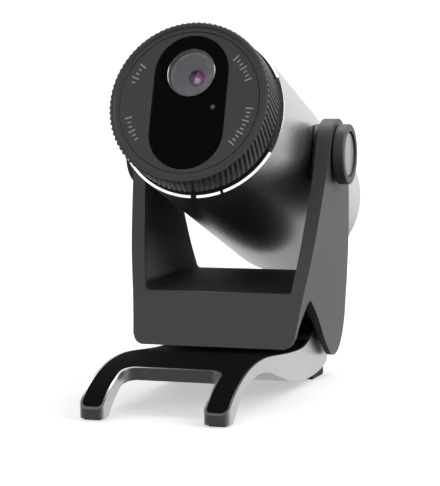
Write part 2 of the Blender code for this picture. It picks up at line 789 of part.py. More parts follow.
# ================================================================ head
def build_barrel():
    rear = arc((BARREL_RADIUS - REAR_ROUND, BARREL_REAR - REAR_ROUND),
               REAR_ROUND, 0.0, 90.0, 5)
    profile = [(BARREL_BORE, BARREL_FRONT),
               (BARREL_RADIUS - BARREL_CHAMFER, BARREL_FRONT),
               (BARREL_RADIUS, BARREL_FRONT + BARREL_CHAMFER)] + rear
    profile += [(REAR_BORE + REAR_LIP, BARREL_REAR),
                (REAR_BORE, BARREL_REAR - REAR_LIP),
                (REAR_BORE, REAR_WALL_Y), (BARREL_BORE, REAR_WALL_Y)]
    shell = spin("barrel_shell", profile, "Y", 60)
    for start, end in NOTCH_ARCS:
        steps = max(2, round((end - start) / 6))
        cut(shell, sector("notch", BARREL_BORE - 1.3, BARREL_RADIUS + 1.3,
                          BARREL_FRONT - 1.0, LIGHT_BACK + SEAM, start, end,
                          steps))
    for sign in (1.0, -1.0):
        low, high = (sign * x for x in BARREL_SHAFT_X)
        cut(shell, rod_x("bore", SHAFT_HOLE, low, high, 0.0, 0.0, 28))
    tidy(shell)
    finish(shell, "satin_aluminium", tilted=True)

    for name, start, end in LIGHT_ARCS:
        steps = max(3, round((end - start) / 5))
        guide = sector("light_" + name, BARREL_BORE + LIGHT_GAP,
                       BARREL_RADIUS, BARREL_FRONT, LIGHT_BACK, start, end,
                       steps)
        finish(guide, "light_white", tilted=True, sharp=25.0)


def build_ring():
    """Knurled sleeve and the core that carries it in the barrel's mouth."""
    points = 2 * TEETH
    twist = math.radians(TOOTH_TWIST_DEG)
    bands = [(RING_FRONT, TOOTH_ROOT, TOOTH_ROOT - 0.15, 0.0),
             (RING_FRONT + RING_CHAMFER, TOOTH_TIP, TOOTH_ROOT, 0.0),
             (KNURL_BACK_Y, TOOTH_TIP, TOOTH_ROOT, twist),
             (NECK_Y, NECK_RADIUS, NECK_RADIUS, twist),
             (RING_BACK, TAIL_RADIUS, TAIL_RADIUS, twist),
             (RING_BACK, SLEEVE_BORE, SLEEVE_BORE, twist),
             (RING_FRONT, SLEEVE_BORE, SLEEVE_BORE, 0.0)]
    rows = []
    for y, tip, root, lag in bands:
        row = []
        for k in range(points):
            radius = tip if k % 2 == 0 else root
            angle = 2.0 * math.pi * k / points - lag
            row.append((radius * math.cos(angle), y,
                        radius * math.sin(angle)))
        rows.append(row)
    sleeve = loft("grip_sleeve", rows, closed_path=True)
    finish(sleeve, "ring_grey", tilted=True, sharp=20.0)

    front = RING_FRONT + RING_CHAMFER
    lip_back = RING_FRONT + CORE_LIP_DEPTH
    shoulder = RING_BACK - SEAM
    core = spin("ring_core", [
        (CORE_RADIUS - 0.05, front), (CORE_RADIUS, front + 0.15),
        (CORE_RADIUS, shoulder), (CORE_TAIL_RADIUS, shoulder),
        (CORE_TAIL_RADIUS, CORE_TAIL_Y), (CORE_BORE, CORE_TAIL_Y),
        (CORE_BORE, lip_back), (CORE_LIP_RADIUS, lip_back),
        (CORE_LIP_RADIUS, front)], "Y", 54)
    finish(core, "ring_grey", tilted=True)


def stadium(half_width, centre, steps):
    return (arc((0.0, centre), half_width, 0.0, 180.0, steps)
            + arc((0.0, -centre), half_width, 180.0, 360.0, steps))


def build_face():
    back = PLATE_FRONT + PLATE_THICK
    seat_gap, edge_gap = WINDOW_GAP
    plate = spin("face_plate", [
        (0, back), (PLATE_RADIUS, back),
        (PLATE_RADIUS, PLATE_FRONT + PLATE_CHAMFER),
        (PLATE_RADIUS - PLATE_CHAMFER, PLATE_FRONT), (0, PLATE_FRONT)],
        "Y", 60)
    seat = stadium(WINDOW_HALF_WIDTH + seat_gap, WINDOW_CENTRE, 18)
    cut(plate, prism_y("recess", seat, PLATE_FRONT - 1.0,
                       PLATE_FRONT + WINDOW_SEAT_DEPTH))
    cut(plate, rod_y("lens_hole", PLATE_LENS_HOLE, *FACE_CUT_Y, 0.0, LENS_Z,
                     36))
    tidy(plate)
    finish(plate, "plate_grey", tilted=True)

    edge = stadium(WINDOW_HALF_WIDTH + edge_gap, WINDOW_CENTRE, 18)
    window = prism_y("window_glass", edge, *WINDOW_Y)
    cut(window, rod_y("lens_hole", WINDOW_LENS_HOLE, *FACE_CUT_Y, 0.0,
                      LENS_Z, 36))
    cut(window, rod_y("dot_hole", INDICATOR_HOLE, *FACE_CUT_Y, *INDICATOR,
                      16))
    tidy(window)
    finish(window, "window_black", tilted=True)

    dot = rod_y("indicator_lens", INDICATOR_RADIUS, PLATE_FRONT,
                PLATE_FRONT + INDICATOR_LENGTH, *INDICATOR, 16)
    finish(dot, "cap_silver", tilted=True)


def build_lens():
    at = (0.0, LENS_Z)
    home = (0.0, LENS_HOME_Y, LENS_Z)
    bore, outside = HOLDER_RADII
    flange_bore, flange = FLANGE_RADII
    step, back = FLANGE_Y
    holder = spin("lens_holder", [
        (bore, HOLDER_RIM_Y + 0.15), ((bore + outside) / 2.0, HOLDER_RIM_Y),
        (outside, HOLDER_RIM_Y + 0.15), (outside, step), (flange, step),
        (flange, back), (flange_bore, back), (flange_bore, HOLDER_BACK_Y),
        (bore, HOLDER_BACK_Y)], "Y", 28, at)
    finish(holder, "lens_cell_grey", tilted=True)

    seat_radius, seat_y = CELL_SEAT
    throat = CONE_THROAT[0]
    cell = spin("lens_cell", [
        CONE_THROAT, (CONE_MOUTH_RADIUS, CELL_FRONT_Y),
        (CELL_RADIUS - 0.05, CELL_FRONT_Y), (CELL_RADIUS, CELL_FRONT_Y + 0.15),
        (CELL_RADIUS, CELL_BACK_Y), (seat_radius, CELL_BACK_Y),
        (seat_radius, seat_y), (throat, THROAT_BACK_Y)], "Y", 28, at)
    finish(cell, "lens_cell_grey", tilted=True, home=home)

    crown, hollow = FRONT_GLASS_CROWN
    front_y, back_y = FRONT_GLASS_Y
    dome = [(FRONT_GLASS_RADII[0] * k / 5, front_y - crown * (1 - (k / 5) ** 2))
            for k in range(6)]
    back = [(FRONT_GLASS_RADII[1] * k / 2, back_y - hollow * (1 - (k / 2) ** 2))
            for k in reversed(range(3))]
    front = spin("lens_front_glass", dome + back, "Y", 28, at)
    finish(front, "lens_glass", tilted=True, home=home)

    inner = spin("lens_inner_glass", INNER_GLASS, "Y", 28, at)
    finish(inner, "lens_glass", tilted=True, home=home)


def build_inside():
    front, back = CHASSIS_Y
    collar_front, collar_back = COLLAR_Y
    wall_front, wall_back = LENS_WALL_Y
    chassis = spin("front_chassis", [
        (CHASSIS_BORE, front), (CHASSIS_RADIUS, front),
        (CHASSIS_RADIUS, collar_front), (COLLAR_RADIUS, collar_front),
        (COLLAR_RADIUS, collar_back), (CHASSIS_RADIUS, collar_back),
        (CHASSIS_RADIUS, back), (CHASSIS_BORE, back),
        (CHASSIS_BORE, wall_back), (LENS_WALL_BORE, wall_back),
        (LENS_WALL_BORE, wall_front), (CHASSIS_BORE, wall_front)], "Y", 32)
    finish(chassis, "frame_plastic", tilted=True)

    sensor = box("image_sensor", (-SENSOR_HALF_WIDTH, SENSOR_HALF_WIDTH),
                 SENSOR_Y, (LENS_Z - SENSOR_HALF, LENS_Z + SENSOR_HALF))
    finish(sensor, "chip_black", tilted=True)

    inner, outer = REAR_FRAME_RADII
    low, high = REAR_FRAME_Y
    frame = spin("rear_frame", [(inner, low), (outer, low), (outer, high),
                                (inner, high)], "Y", 32)
    for sign in (1.0, -1.0):
        xs = sorted(sign * x for x in RAIL_X)
        join(frame, box("rail", xs, RAIL_Y, RAIL_Z))
    tidy(frame)
    finish(frame, "frame_plastic", tilted=True)

    for name, size in (("sensor_board", SENSOR_BOARD),
                       ("main_board", MAIN_BOARD)):
        board = box(name, *size)
        bevel(board, BOARD_CORNER, 1, 50.0)
        finish(board, "board_green", tilted=True)
    for name, size in CHIPS.items():
        chip = box(name, *size)
        bevel(chip, CHIP_CORNER, 1, 50.0)
        finish(chip, "chip_black", tilted=True)


def slot_outline(half_x, half_z, steps=6):
    """Round-ended slot about the port's centre, seen from behind."""
    right = arc((half_x - half_z, PORT_Z), half_z, -90.0, 90.0, steps)
    left = arc((half_z - half_x, PORT_Z), half_z, 90.0, 270.0, steps)
    return right + left


def build_rear_panel():
    rim = arc((0.0, 0.0), PANEL_RADIUS, *PANEL_RIM_DEG, 39)
    panel = prism_y("rear_panel", rim, *PANEL_Y)
    cut(panel, prism_y("slot", slot_outline(*PORT_HALF), 40.0, FAR))
    for x in (-SCREW_X, SCREW_X):
        cut(panel, rod_y("screw_seat", SCREW_SEAT_RADIUS, SCREW_SEAT_Y, FAR,
                         x, 0.0, 20))
        cut(panel, rod_y("screw_hole", SCREW_HOLE_RADIUS, 40.0, FAR, x, 0.0,
                         16))
    for k in range(VENTS):
        x = VENT_PITCH * (k - (VENTS - 1) / 2.0)
        cut(panel, rod_y("vent", VENT_RADIUS, 40.0, FAR, x, VENT_Z, 12))
    tidy(panel)
    finish(panel, "frame_plastic", tilted=True)


def build_rear():
    build_rear_panel()
    half_x, half_z = SOCKET_HALF
    socket = prism_y("usb_socket", slot_outline(half_x, half_z), *SOCKET_Y)
    mouth = slot_outline(half_x - SOCKET_WALL, half_z - SOCKET_WALL)
    cut(socket, prism_y("mouth", mouth, SOCKET_FLOOR_Y, FAR))
    tidy(socket)
    finish(socket, "steel", tilted=True)
    wide, thin = TONGUE_HALF
    tongue = box("usb_tongue", (-wide, wide), TONGUE_Y,
                 (PORT_Z - thin, PORT_Z + thin))
    finish(tongue, "chip_black", tilted=True)

    under, top = SCREW_HEAD_Y
    for name, x in (("left", -SCREW_X), ("right", SCREW_X)):
        screw = spin("rear_screw_" + name, [
            (0, SCREW_TIP_Y), (SCREW_SHANK_RADIUS, SCREW_TIP_Y),
            (SCREW_SHANK_RADIUS, under), (SCREW_HEAD_RADIUS, under),
            (SCREW_HEAD_RADIUS, top - 0.25), (SCREW_HEAD_RADIUS - 0.3, top),
            (DRIVE_RADIUS, top), (DRIVE_RADIUS, DRIVE_Y), (0, DRIVE_Y)],
            "Y", 14, (x, 0.0))
        finish(screw, "steel", tilted=True)


def build_pivot(name, sign):
    """Boss, shaft, cap and disc on one side; sign is +1 for the right."""
    edge = PIVOT_EDGE
    boss = spin("pivot_boss_" + name, [
        (SHAFT_HOLE, sign * BOSS_INNER_X), (BOSS_RADIUS, sign * BOSS_INNER_X),
        (BOSS_RADIUS, sign * (BOSS_OUTER_X - edge)),
        (BOSS_RADIUS - edge, sign * BOSS_OUTER_X),
        (SHAFT_HOLE, sign * BOSS_OUTER_X)], "X", 32)
    cut(boss, rod_y("saddle", BARREL_RADIUS + SADDLE_GAP, *SADDLE_Y, 0.0, 0.0,
                    80))
    tidy(boss)
    finish(boss, "yoke_grey", tilted=True)

    head_in, head_out = SHAFT_HEAD_X
    shaft = spin("pivot_shaft_" + name, [
        (0, sign * head_in), (SHAFT_HEAD_RADIUS, sign * head_in),
        (SHAFT_HEAD_RADIUS, sign * head_out),
        (SHAFT_RADIUS, sign * head_out),
        (SHAFT_RADIUS, sign * (SHAFT_TIP_X - edge)),
        (SHAFT_RADIUS - edge, sign * SHAFT_TIP_X), (0, sign * SHAFT_TIP_X)],
        "X", 28)
    finish(shaft, "steel", tilted=True)

    socket, socket_x = CAP_SOCKET
    dish, dish_x = CAP_DISH
    cap = spin("pivot_cap_" + name, [
        (0, sign * socket_x), (socket, sign * socket_x),
        (socket, sign * CAP_INNER_X), (CAP_RADIUS - 0.34, sign * CAP_INNER_X),
        (CAP_RADIUS, sign * (CAP_INNER_X + 0.34)),
        (CAP_RADIUS, sign * (CAP_OUTER_X - 0.4)),
        (CAP_RADIUS - 0.14, sign * (CAP_OUTER_X - 0.12)),
        (CAP_RADIUS - 0.44, sign * CAP_OUTER_X), (dish, sign * CAP_OUTER_X),
        (dish, sign * dish_x), (0, sign * dish_x)], "X", 36)
    finish(cap, "yoke_grey", tilted=True)

    disc_in, disc_out = DISC_X
    disc = spin("cap_disc_" + name, [
        (0, sign * disc_in), (DISC_RADIUS, sign * disc_in),
        (DISC_RADIUS, sign * (disc_out - 0.13)),
        (DISC_RADIUS - 0.15, sign * disc_out), (0, sign * disc_out)],
        "X", 36)
    finish(disc, "cap_silver", tilted=True)


def main():
    clear_scene()
    build_foot()
    build_yoke()
    build_barrel()
    build_ring()
    build_face()
    build_lens()
    build_inside()
    build_rear()
    build_pivot("left", -1.0)
    build_pivot("right", 1.0)


main()
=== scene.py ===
"""Looks for the webcam on its stand.

Shapes are drawn in millimetres from the tilt pivot (+X right seen from the
front, +Y back, +Z up) and put in the world by one of two matrices: STAND for
the yoke and foot, and HEAD for everything that tilts with the camera barrel.
"""
import json
import math

import bmesh
import bpy
from mathutils import Matrix, Vector


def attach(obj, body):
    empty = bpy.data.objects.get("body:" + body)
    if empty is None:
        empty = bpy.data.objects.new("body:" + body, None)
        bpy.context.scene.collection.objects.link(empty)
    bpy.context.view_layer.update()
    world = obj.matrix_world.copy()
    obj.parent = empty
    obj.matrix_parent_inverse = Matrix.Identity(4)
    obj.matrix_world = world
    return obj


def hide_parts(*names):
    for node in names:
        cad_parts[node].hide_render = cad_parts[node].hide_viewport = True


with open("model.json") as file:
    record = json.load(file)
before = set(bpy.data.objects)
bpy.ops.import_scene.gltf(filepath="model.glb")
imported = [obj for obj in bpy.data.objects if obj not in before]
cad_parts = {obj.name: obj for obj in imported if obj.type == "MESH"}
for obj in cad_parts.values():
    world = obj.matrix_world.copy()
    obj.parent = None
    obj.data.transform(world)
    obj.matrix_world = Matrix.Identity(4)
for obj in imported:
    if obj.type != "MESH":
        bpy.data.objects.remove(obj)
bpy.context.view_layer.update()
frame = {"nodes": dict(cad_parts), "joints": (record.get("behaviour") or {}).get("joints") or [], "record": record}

MM = 0.001
# A finer circle stands this much inside the CAD's, to stay in its box.
HAIR = 0.004
JOINTS = {joint["name"]: joint for joint in frame["joints"]}
PIVOT = Vector(JOINTS["head_tilt"]["pos_m"])
LOOK = Vector(JOINTS["focus_ring_turn"]["axis"]).normalized()
SIDE = Vector((1.0, 0.0, 0.0))
SIDES = (("left", -1.0), ("right", 1.0))

STAND = Matrix.Translation(PIVOT) @ Matrix.Scale(MM, 4)
HEAD_TURN = Matrix((SIDE, -LOOK, SIDE.cross(-LOOK))).transposed().to_4x4()
HEAD = Matrix.Translation(PIVOT) @ HEAD_TURN @ Matrix.Scale(MM, 4)


def reach(node, matrix):
    """Lowest and highest corner of a CAD node in a drawing frame, in mm."""
    back = matrix.inverted()
    points = [back @ v.co for v in frame["nodes"][node].data.vertices]
    low = Vector([min(p[i] for p in points) for i in range(3)])
    high = Vector([max(p[i] for p in points) for i in range(3)])
    return low, high


# ------------ sizes from the CAD
BARREL_LOW, BARREL_HIGH = reach("barrel_shell", HEAD)
BARREL_RADIUS = BARREL_HIGH.x
BARREL_FRONT, BARREL_REAR = BARREL_LOW.y, BARREL_HIGH.y
RING_LOW, RING_HIGH = reach("grip_sleeve", HEAD)
RING_RADIUS = RING_HIGH.x - HAIR
RING_FRONT, RING_BACK = RING_LOW.y, RING_HIGH.y
PLATE_LOW, PLATE_HIGH = reach("face_plate", HEAD)
PLATE_RADIUS = PLATE_HIGH.x
PLATE_FRONT, PLATE_BACK = PLATE_LOW.y, PLATE_HIGH.y
WINDOW_HIGH = reach("window_glass", HEAD)[1]
WINDOW_HALF = WINDOW_HIGH.x
WINDOW_CENTRE = WINDOW_HIGH.z - WINDOW_HALF
HOLDER_LOW, HOLDER_HIGH = reach("lens_holder", HEAD)
LENS_Z = (HOLDER_LOW.z + HOLDER_HIGH.z) / 2.0
DOT_LOW, DOT_HIGH = reach("indicator_lens", HEAD)
DOT = ((DOT_LOW.x + DOT_HIGH.x) / 2.0, (DOT_LOW.z + DOT_HIGH.z) / 2.0)
CAP_LOW, CAP_HIGH = reach("pivot_cap_right", HEAD)
CAP_INNER, CAP_OUTER, CAP_RADIUS = CAP_LOW.x, CAP_HIGH.x, CAP_HIGH.y
BOSS_HIGH = reach("pivot_boss_right", HEAD)[1]
BOSS_OUTER, BOSS_RADIUS = BOSS_HIGH.x, BOSS_HIGH.y
FOOT_LOW, FOOT_HIGH = reach("foot_casting", STAND)
FOOT_HALF = FOOT_HIGH.x
TIP_Y = FOOT_LOW.y
HEEL_LOW, HEEL_HIGH = reach("heel_pad", STAND)
GROUND = HEEL_LOW.z
PANEL_LOW, PANEL_HIGH = reach("rear_panel", HEAD)
PANEL_RADIUS = PANEL_HIGH.x
PANEL_FRONT, PANEL_REAR = PANEL_LOW.y, PANEL_HIGH.y
SOCKET_LOW, SOCKET_HIGH = reach("usb_socket", HEAD)
SOCKET_HALF = (SOCKET_HIGH.x, (SOCKET_HIGH.z - SOCKET_LOW.z) / 2.0)
PORT_Z = (SOCKET_HIGH.z + SOCKET_LOW.z) / 2.0
TONGUE_LOW, TONGUE_HIGH = reach("usb_tongue", HEAD)
SCREW_LOW, SCREW_HIGH = reach("rear_screw_right", HEAD)
SCREW_X = (SCREW_LOW.x + SCREW_HIGH.x) / 2.0
PIN_HIGH = reach("hinge_pin", STAND)[1]
SHAFT_LOW, SHAFT_HIGH = reach("pivot_shaft_right", HEAD)
HINGE = ((JOINTS["stand_hinge"]["pos_m"][1] - PIVOT.y) / MM,
         (JOINTS["stand_hinge"]["pos_m"][2] - PIVOT.z) / MM)

# ------------ cutters
CUT_X = (-30.0, 30.0)
CUT_Y = (-60.0, 60.0)
PLAN_Z = (-70.0, -20.0)
REAR_CUT_Y = (40.0, 60.0)

# ------------ yoke
YOKE_OUTER = [(-54.0, 18.85), (-43.3, 19.15), (-33.6, 20.2), (-21.2, 22.0),
              (-6.6, 23.35), (0.0, 23.7), (12.0, 23.75)]
YOKE_INNER = [(-36.0, 16.9), (-31.4, 17.5), (-22.0, 18.75), (-13.0, 19.6),
              (-7.5, 20.15), (-3.0, 20.35), (2.0, 20.4), (14.0, 20.4)]
ARM_HEAD_RADIUS = 8.3
FRONT_TOP = (-8.1, 0.0)
FRONT_FOOT = (-22.55, -43.3)
REAR_LINE = [(13.5, -11.4), (15.8, -17.6), (18.2, -23.9), (21.7, -31.6)]
NOTCH = [(-21.2, -43.3), (-20.5, -41.2), (-19.2, -39.1), (-17.1, -36.7),
         (-15.1, -34.9), (-13.4, -33.7), (-12.0, -33.3), (-10.5, -33.7),
         (-9.0, -34.5), (-4.6, -36.9), (0.5, -40.3), (6.0, -44.6)]
TONGUE_RADIUS = 8.5
TONGUE_INNER_X = 17.65
LUG_RADIUS = 6.9
LUG_AIR = 0.55
FLOOR_Z_MID = -30.3
FLOOR_SLOPE = 0.052
FLOOR_FILLET = 0.9
LINER_THICK = 0.8
LINER_SEAM = 0.3
CORNER_RADIUS = 2.5
DECK_UNDER_Z = -33.3
FRONT_WALL = 2.0
LINER_HEAD_RADIUS = 6.4
LINER_FRONT_LIP = 1.3
LINER_REAR_LIP = 1.5
LINER_FOOT_Z = -33.0
LINER_BORE = 3.5
# Metres above the ground, between which the liner turns from dark to light: below this band, on the deck, it
# carries painted shade.
LINER_SHADE_Z = (0.0246, 0.0262)
BEARING_HOLE, BEARING_HOLE_X = 4.35, (20.0, 25.0)
PIN_BLIND_X = (17.0, 18.75)
DECK_UNDER_REAR_Y = 20.6
YOKE_EDGE = 0.42

# ------------ foot
FORK_HALF_GAP = 11.0
FORK_ROOT_Y = -48.5
FORK_FILLET = 3.0
TIP_RADIUS = 1.9
FOOT_TOP = [(-62.2, -51.9), (-61.0, -50.8), (-59.2, -49.4), (-56.8, -47.9),
            (-54.0, -46.6), (-51.0, -45.5), (-47.0, -44.45), (-43.0, -43.85),
            (-39.0, -43.55), (-35.0, -43.5), (-30.0, -43.75),
            (-24.0, -44.25), (-16.0, -44.85), (-8.0, -45.15), (-3.2, -44.9),
            (1.2, -43.8), (5.0, -41.9)]
FOOT_BOTTOM = [(16.9, -51.2), (13.4, -52.1), (8.0, -52.7), (1.0, -53.0),
               (-5.0, -52.8), (-11.0, -52.2), (-16.0, -51.3), (-20.0, -50.3),
               (-24.0, -49.3), (-28.0, -48.2), (-32.0, -47.2), (-36.6, -46.5),
               (-41.0, -46.4), (-45.0, -46.8), (-48.5, -47.5), (-52.0, -48.9),
               (-55.3, -50.9), (-57.9, -53.1), (-58.9, -53.9), (-62.2, -53.9)]
PAD_END_Y = 1.0
PAD_RIM = 0.5
PAD_DEPTH = 0.9
PAD_THICK = 0.65
PAD_GAP = 0.1
SOLE_X = (11.9, 15.7)
SOLE_Y = (-61.3, -59.2)
SOLE_TOP = -53.6
HEEL_AIR = 0.27
HEEL_CHAMFER = 0.5
PIN_HOLE = 2.3
PIN_RADIUS = 2.0
FOOT_EDGE = 0.45
FOOT_HEEL = [(17.9, -48.9), (17.7, -50.2)]
LUG_ARC_DEG = (172.0, -52.0)
SOLE_CORNER, SOLE_SEAT_GAP = 0.6, 0.25

# ------------ head
BARREL_BORE = 17.3
REAR_ROUND = 3.6
REAR_BORE = 14.4
REAR_WALL_Y = 43.0
SHAFT_HOLE, SHAFT_HOLE_X = 3.4, (14.0, 21.0)
LIGHT_BACK = -31.4
LIGHT_INNER, LIGHT_OUTER = BARREL_RADIUS - 0.56, BARREL_RADIUS - 0.05
LIGHT_ARCS = {"top": (26.5, 153.5), "lower_left": (-157.0, -91.2),
              "lower_short": (-87.1, -70.6), "lower_right": (-68.4, -27.5)}
NOTCH_ARCS = [(25.5, 154.5), (-158.0, -26.5)]
DARK_BARS = [(-91.1, -87.2), (-70.5, -68.5)]
TEETH = 90
TOOTH_DEPTH = 0.42
TOOTH_POINTS = 10
TOOTH_TWIST_DEG = 6.0
KNURL_FRONT_INSET = 0.36
KNURL_BACK_Y = -33.0
SLEEVE_BORE = 17.3
CORE_EDGE, CORE_FLAT, CORE_BORE = 17.28, 16.75, 16.05
CORE_RADIUS, CORE_INNER = 17.0, 16.25
CORE_TAIL_RADIUS, CORE_TAIL_Y = 16.85, -27.5
PUPIL_Y, PUPIL_RADIUS = PLATE_FRONT + 3.5, 1.72
PORT_HALF = (4.95, 2.05)
SOCKET_WALL = 0.35
SOCKET_FLOOR_Y = 38.6
SCREW_RADII = (0.9, 1.9)
SCREW_SEAT_RADIUS, SCREW_SEAT_Y = 2.2, 44.1
SCREW_UNDER_Y = 44.35
VENTS, VENT_PITCH, VENT_RADIUS, VENT_Z = 5, 2.4, 0.55, 6.5
CONTACTS, CONTACT_PITCH = 10, 0.55
WASHER_RADII, WASHER_X = (2.35, 5.4), (16.87, 17.35)
BUSH_RADII, BUSH_X = (3.3, 4.05), (21.75, 23.6)
SHAFT_RADIUS, SHAFT_HEAD = 3.0, (5.0, 15.9)
BOSS_INNER, SADDLE_GAP = 16.5, 0.28
CAP_SOCKET, CAP_SOCKET_X = 3.3, 25.4
CAP_DISH, CAP_DISH_X = 5.3, 25.7
DISC_RADIUS, DISC_X = 5.0, (25.97, 26.28)
PLATE_LENS_HOLE, WINDOW_LENS_HOLE, DOT_HOLE = 6.1, 5.66, 0.66
FACE_CUT_Y = (-42.0, -30.0)
TICK_RADIUS = 14.0
TICK_GROUPS = [(144.0, 161.0, 5), (-165.0, -143.0, 6), (21.0, 45.0, 7),
               (-41.0, -6.0, 10)]
TICK_LONG, TICK_SHORT, TICK_WIDE, TICK_PROUD = 1.7, 0.9, 0.26, 0.05


# ============ mesh tools
def from_bmesh(bm, name):
    bmesh.ops.recalc_face_normals(bm, faces=bm.faces)
    mesh = bpy.data.meshes.new(name)
    bm.to_mesh(mesh)
    bm.free()
    obj = bpy.data.objects.new(name, mesh)
    bpy.context.scene.collection.objects.link(obj)
    return obj


def loft(name, sections, closed_path=False):
    """Skin a list of equal-length loops and cap both ends."""
    bm = bmesh.new()
    rows = [[bm.verts.new(p) for p in section] for section in sections]
    count = len(rows[0])
    pairs = list(zip(rows, rows[1:]))
    if closed_path:
        pairs.append((rows[-1], rows[0]))
    for low, high in pairs:
        for i in range(count):
            j = (i + 1) % count
            bm.faces.new((low[i], low[j], high[j], high[i]))
    if not closed_path:
        bm.faces.new(rows[0][::-1])
        bm.faces.new(rows[-1])
    return from_bmesh(bm, name)


def prism_x(name, outline, x0, x1):
    return loft(name, [[(x, y, z) for y, z in outline] for x in (x0, x1)])


def prism_y(name, outline, y0, y1):
    return loft(name, [[(x, y, z) for x, z in outline] for y in (y0, y1)])


def prism_z(name, outline, z0, z1):
    return loft(name, [[(x, y, z) for x, y in outline] for z in (z0, z1)])


def spin(name, profile, axis, steps, centre=(0.0, 0.0)):
    """Turn a closed (radius, along) outline about the X, Y or Z axis."""
    bm = bmesh.new()
    columns = []
    for k in range(steps):
        angle = 2.0 * math.pi * k / steps
        column = []
        for i, (r, along) in enumerate(profile):
            if r < 1e-9 and columns:
                column.append(columns[0][i])
                continue
            u = r * math.cos(angle) + centre[0]
            v = r * math.sin(angle) + centre[1]
            spots = {"X": (along, u, v), "Y": (u, along, v),
                     "Z": (u, v, along)}
            column.append(bm.verts.new(spots[axis]))
        columns.append(column)
    count = len(profile)
    for k in range(steps):
        here, there = columns[k], columns[(k + 1) % steps]
        for i in range(count):
            j = (i + 1) % count
            corners = [here[i], here[j], there[j], there[i]]
            unique = list(dict.fromkeys(corners))
            if len(unique) > 2:
                bm.faces.new(unique)
    return from_bmesh(bm, name)


def arc(centre, radius, start, end, steps):
    """Points on a circle, angles in degrees."""
    points = []
    for k in range(steps + 1):
        angle = math.radians(start + (end - start) * k / steps)
        points.append((centre[0] + radius * math.cos(angle),
                       centre[1] + radius * math.sin(angle)))
    return points


def evenly(low, high, count):
    return [low + (high - low) * k / count for k in range(count + 1)]


def rectangle(x0, x1, y0, y1):
    return [(x0, y0), (x1, y0), (x1, y1), (x0, y1)]


def rounded(corners, steps=8):
    """Polygon of (x, y, radius) corners with each corner rounded."""
    points = []
    count = len(corners)
    for i, (x, y, radius) in enumerate(corners):
        if radius <= 0.0:
            points.append((x, y))
            continue
        here = Vector((x, y))
        before = (Vector(corners[i - 1][:2]) - here).normalized()
        after = (Vector(corners[(i + 1) % count][:2]) - here).normalized()
        half = before.angle(after) / 2.0
        across = (before + after).normalized() * radius / math.sin(half)
        first = before * radius / math.tan(half) - across
        second = after * radius / math.tan(half) - across
        turn = first.angle_signed(second)
        for k in range(steps + 1):
            spot = first.copy()
            spot.rotate(Matrix.Rotation(-turn * k / steps, 2))
            points.append(tuple(here + across + spot))
    return points


def smooth_line(points, steps):
    """Catmull-Rom curve through the points, `steps` pieces per span."""
    result = []
    last = len(points) - 1
    for i in range(last):
        p0 = points[max(i - 1, 0)]
        p1, p2 = points[i], points[i + 1]
        p3 = points[min(i + 2, last)]
        for k in range(steps):
            t = k / steps
            result.append(tuple(
                0.5 * (2 * b + (c - a) * t
                       + (2 * a - 5 * b + 4 * c - d) * t * t
                       + (3 * b - a - 3 * c + d) * t * t * t)
                for a, b, c, d in zip(p0, p1, p2, p3)))
    result.append(tuple(points[last]))
    return result


def value_at(table, key):
    """Read a smooth table of (key, value) pairs."""
    line = smooth_line(table, 6)
    if key <= line[0][0]:
        return line[0][1]
    for (k0, v0), (k1, v1) in zip(line, line[1:]):
        if key <= k1:
            return v0 + (v1 - v0) * (key - k0) / (k1 - k0)
    return line[-1][1]


def bake(obj):
    """Replace the mesh by its evaluated form and drop the modifiers."""
    graph = bpy.context.evaluated_depsgraph_get()
    baked = bpy.data.meshes.new_from_object(obj.evaluated_get(graph))
    obj.modifiers.clear()
    old = obj.data
    obj.data = baked
    bpy.data.meshes.remove(old)


def combine(obj, tool, operation):
    mod = obj.modifiers.new("combine", "BOOLEAN")
    mod.operation = operation
    mod.solver = "EXACT"
    mod.object = tool
    bpy.context.view_layer.update()
    bake(obj)
    mesh = tool.data
    bpy.data.objects.remove(tool, do_unlink=True)
    bpy.data.meshes.remove(mesh)
    return obj


def cut(obj, *tools):
    for tool in tools:
        combine(obj, tool, "DIFFERENCE")
    return obj


def keep(obj, tool):
    return combine(obj, tool, "INTERSECT")


def tidy(obj, distance=0.004, angle=0.4):
    bm = bmesh.new()
    bm.from_mesh(obj.data)
    bmesh.ops.remove_doubles(bm, verts=bm.verts, dist=distance)
    bmesh.ops.dissolve_degenerate(bm, edges=bm.edges, dist=distance)
    bmesh.ops.dissolve_limit(bm, angle_limit=math.radians(angle),
                             verts=bm.verts, edges=bm.edges)
    bm.to_mesh(obj.data)
    bm.free()
    return obj


def round_edges(obj, width, steps=3, angle=35.0):
    mod = obj.modifiers.new("edge", "BEVEL")
    mod.width = width
    mod.segments = steps
    mod.limit_method = "ANGLE"
    mod.angle_limit = math.radians(angle)
    mod.use_clamp_overlap = True
    mod.harden_normals = False
    bpy.context.view_layer.update()
    bake(obj)
    return obj


def rod(name, radius, low, high, axis, centre=(0.0, 0.0), steps=64):
    return spin(name, [(0, low), (radius, low), (radius, high), (0, high)],
                axis, steps, centre)


def side_rod(name, radius, side, span, centre=(0.0, 0.0)):
    """Round cutter along X on the left (-1) or right (1) side."""
    low, high = sorted(side * x for x in span)
    return rod(name, radius, low, high, "X", centre)


def side_spin(name, profile, side, steps, centre=(0.0, 0.0)):
    """Turn a (radius, x) outline about X on the left (-1) or right (1)."""
    return spin(name, [(r, side * x) for r, x in profile], "X", steps, centre)


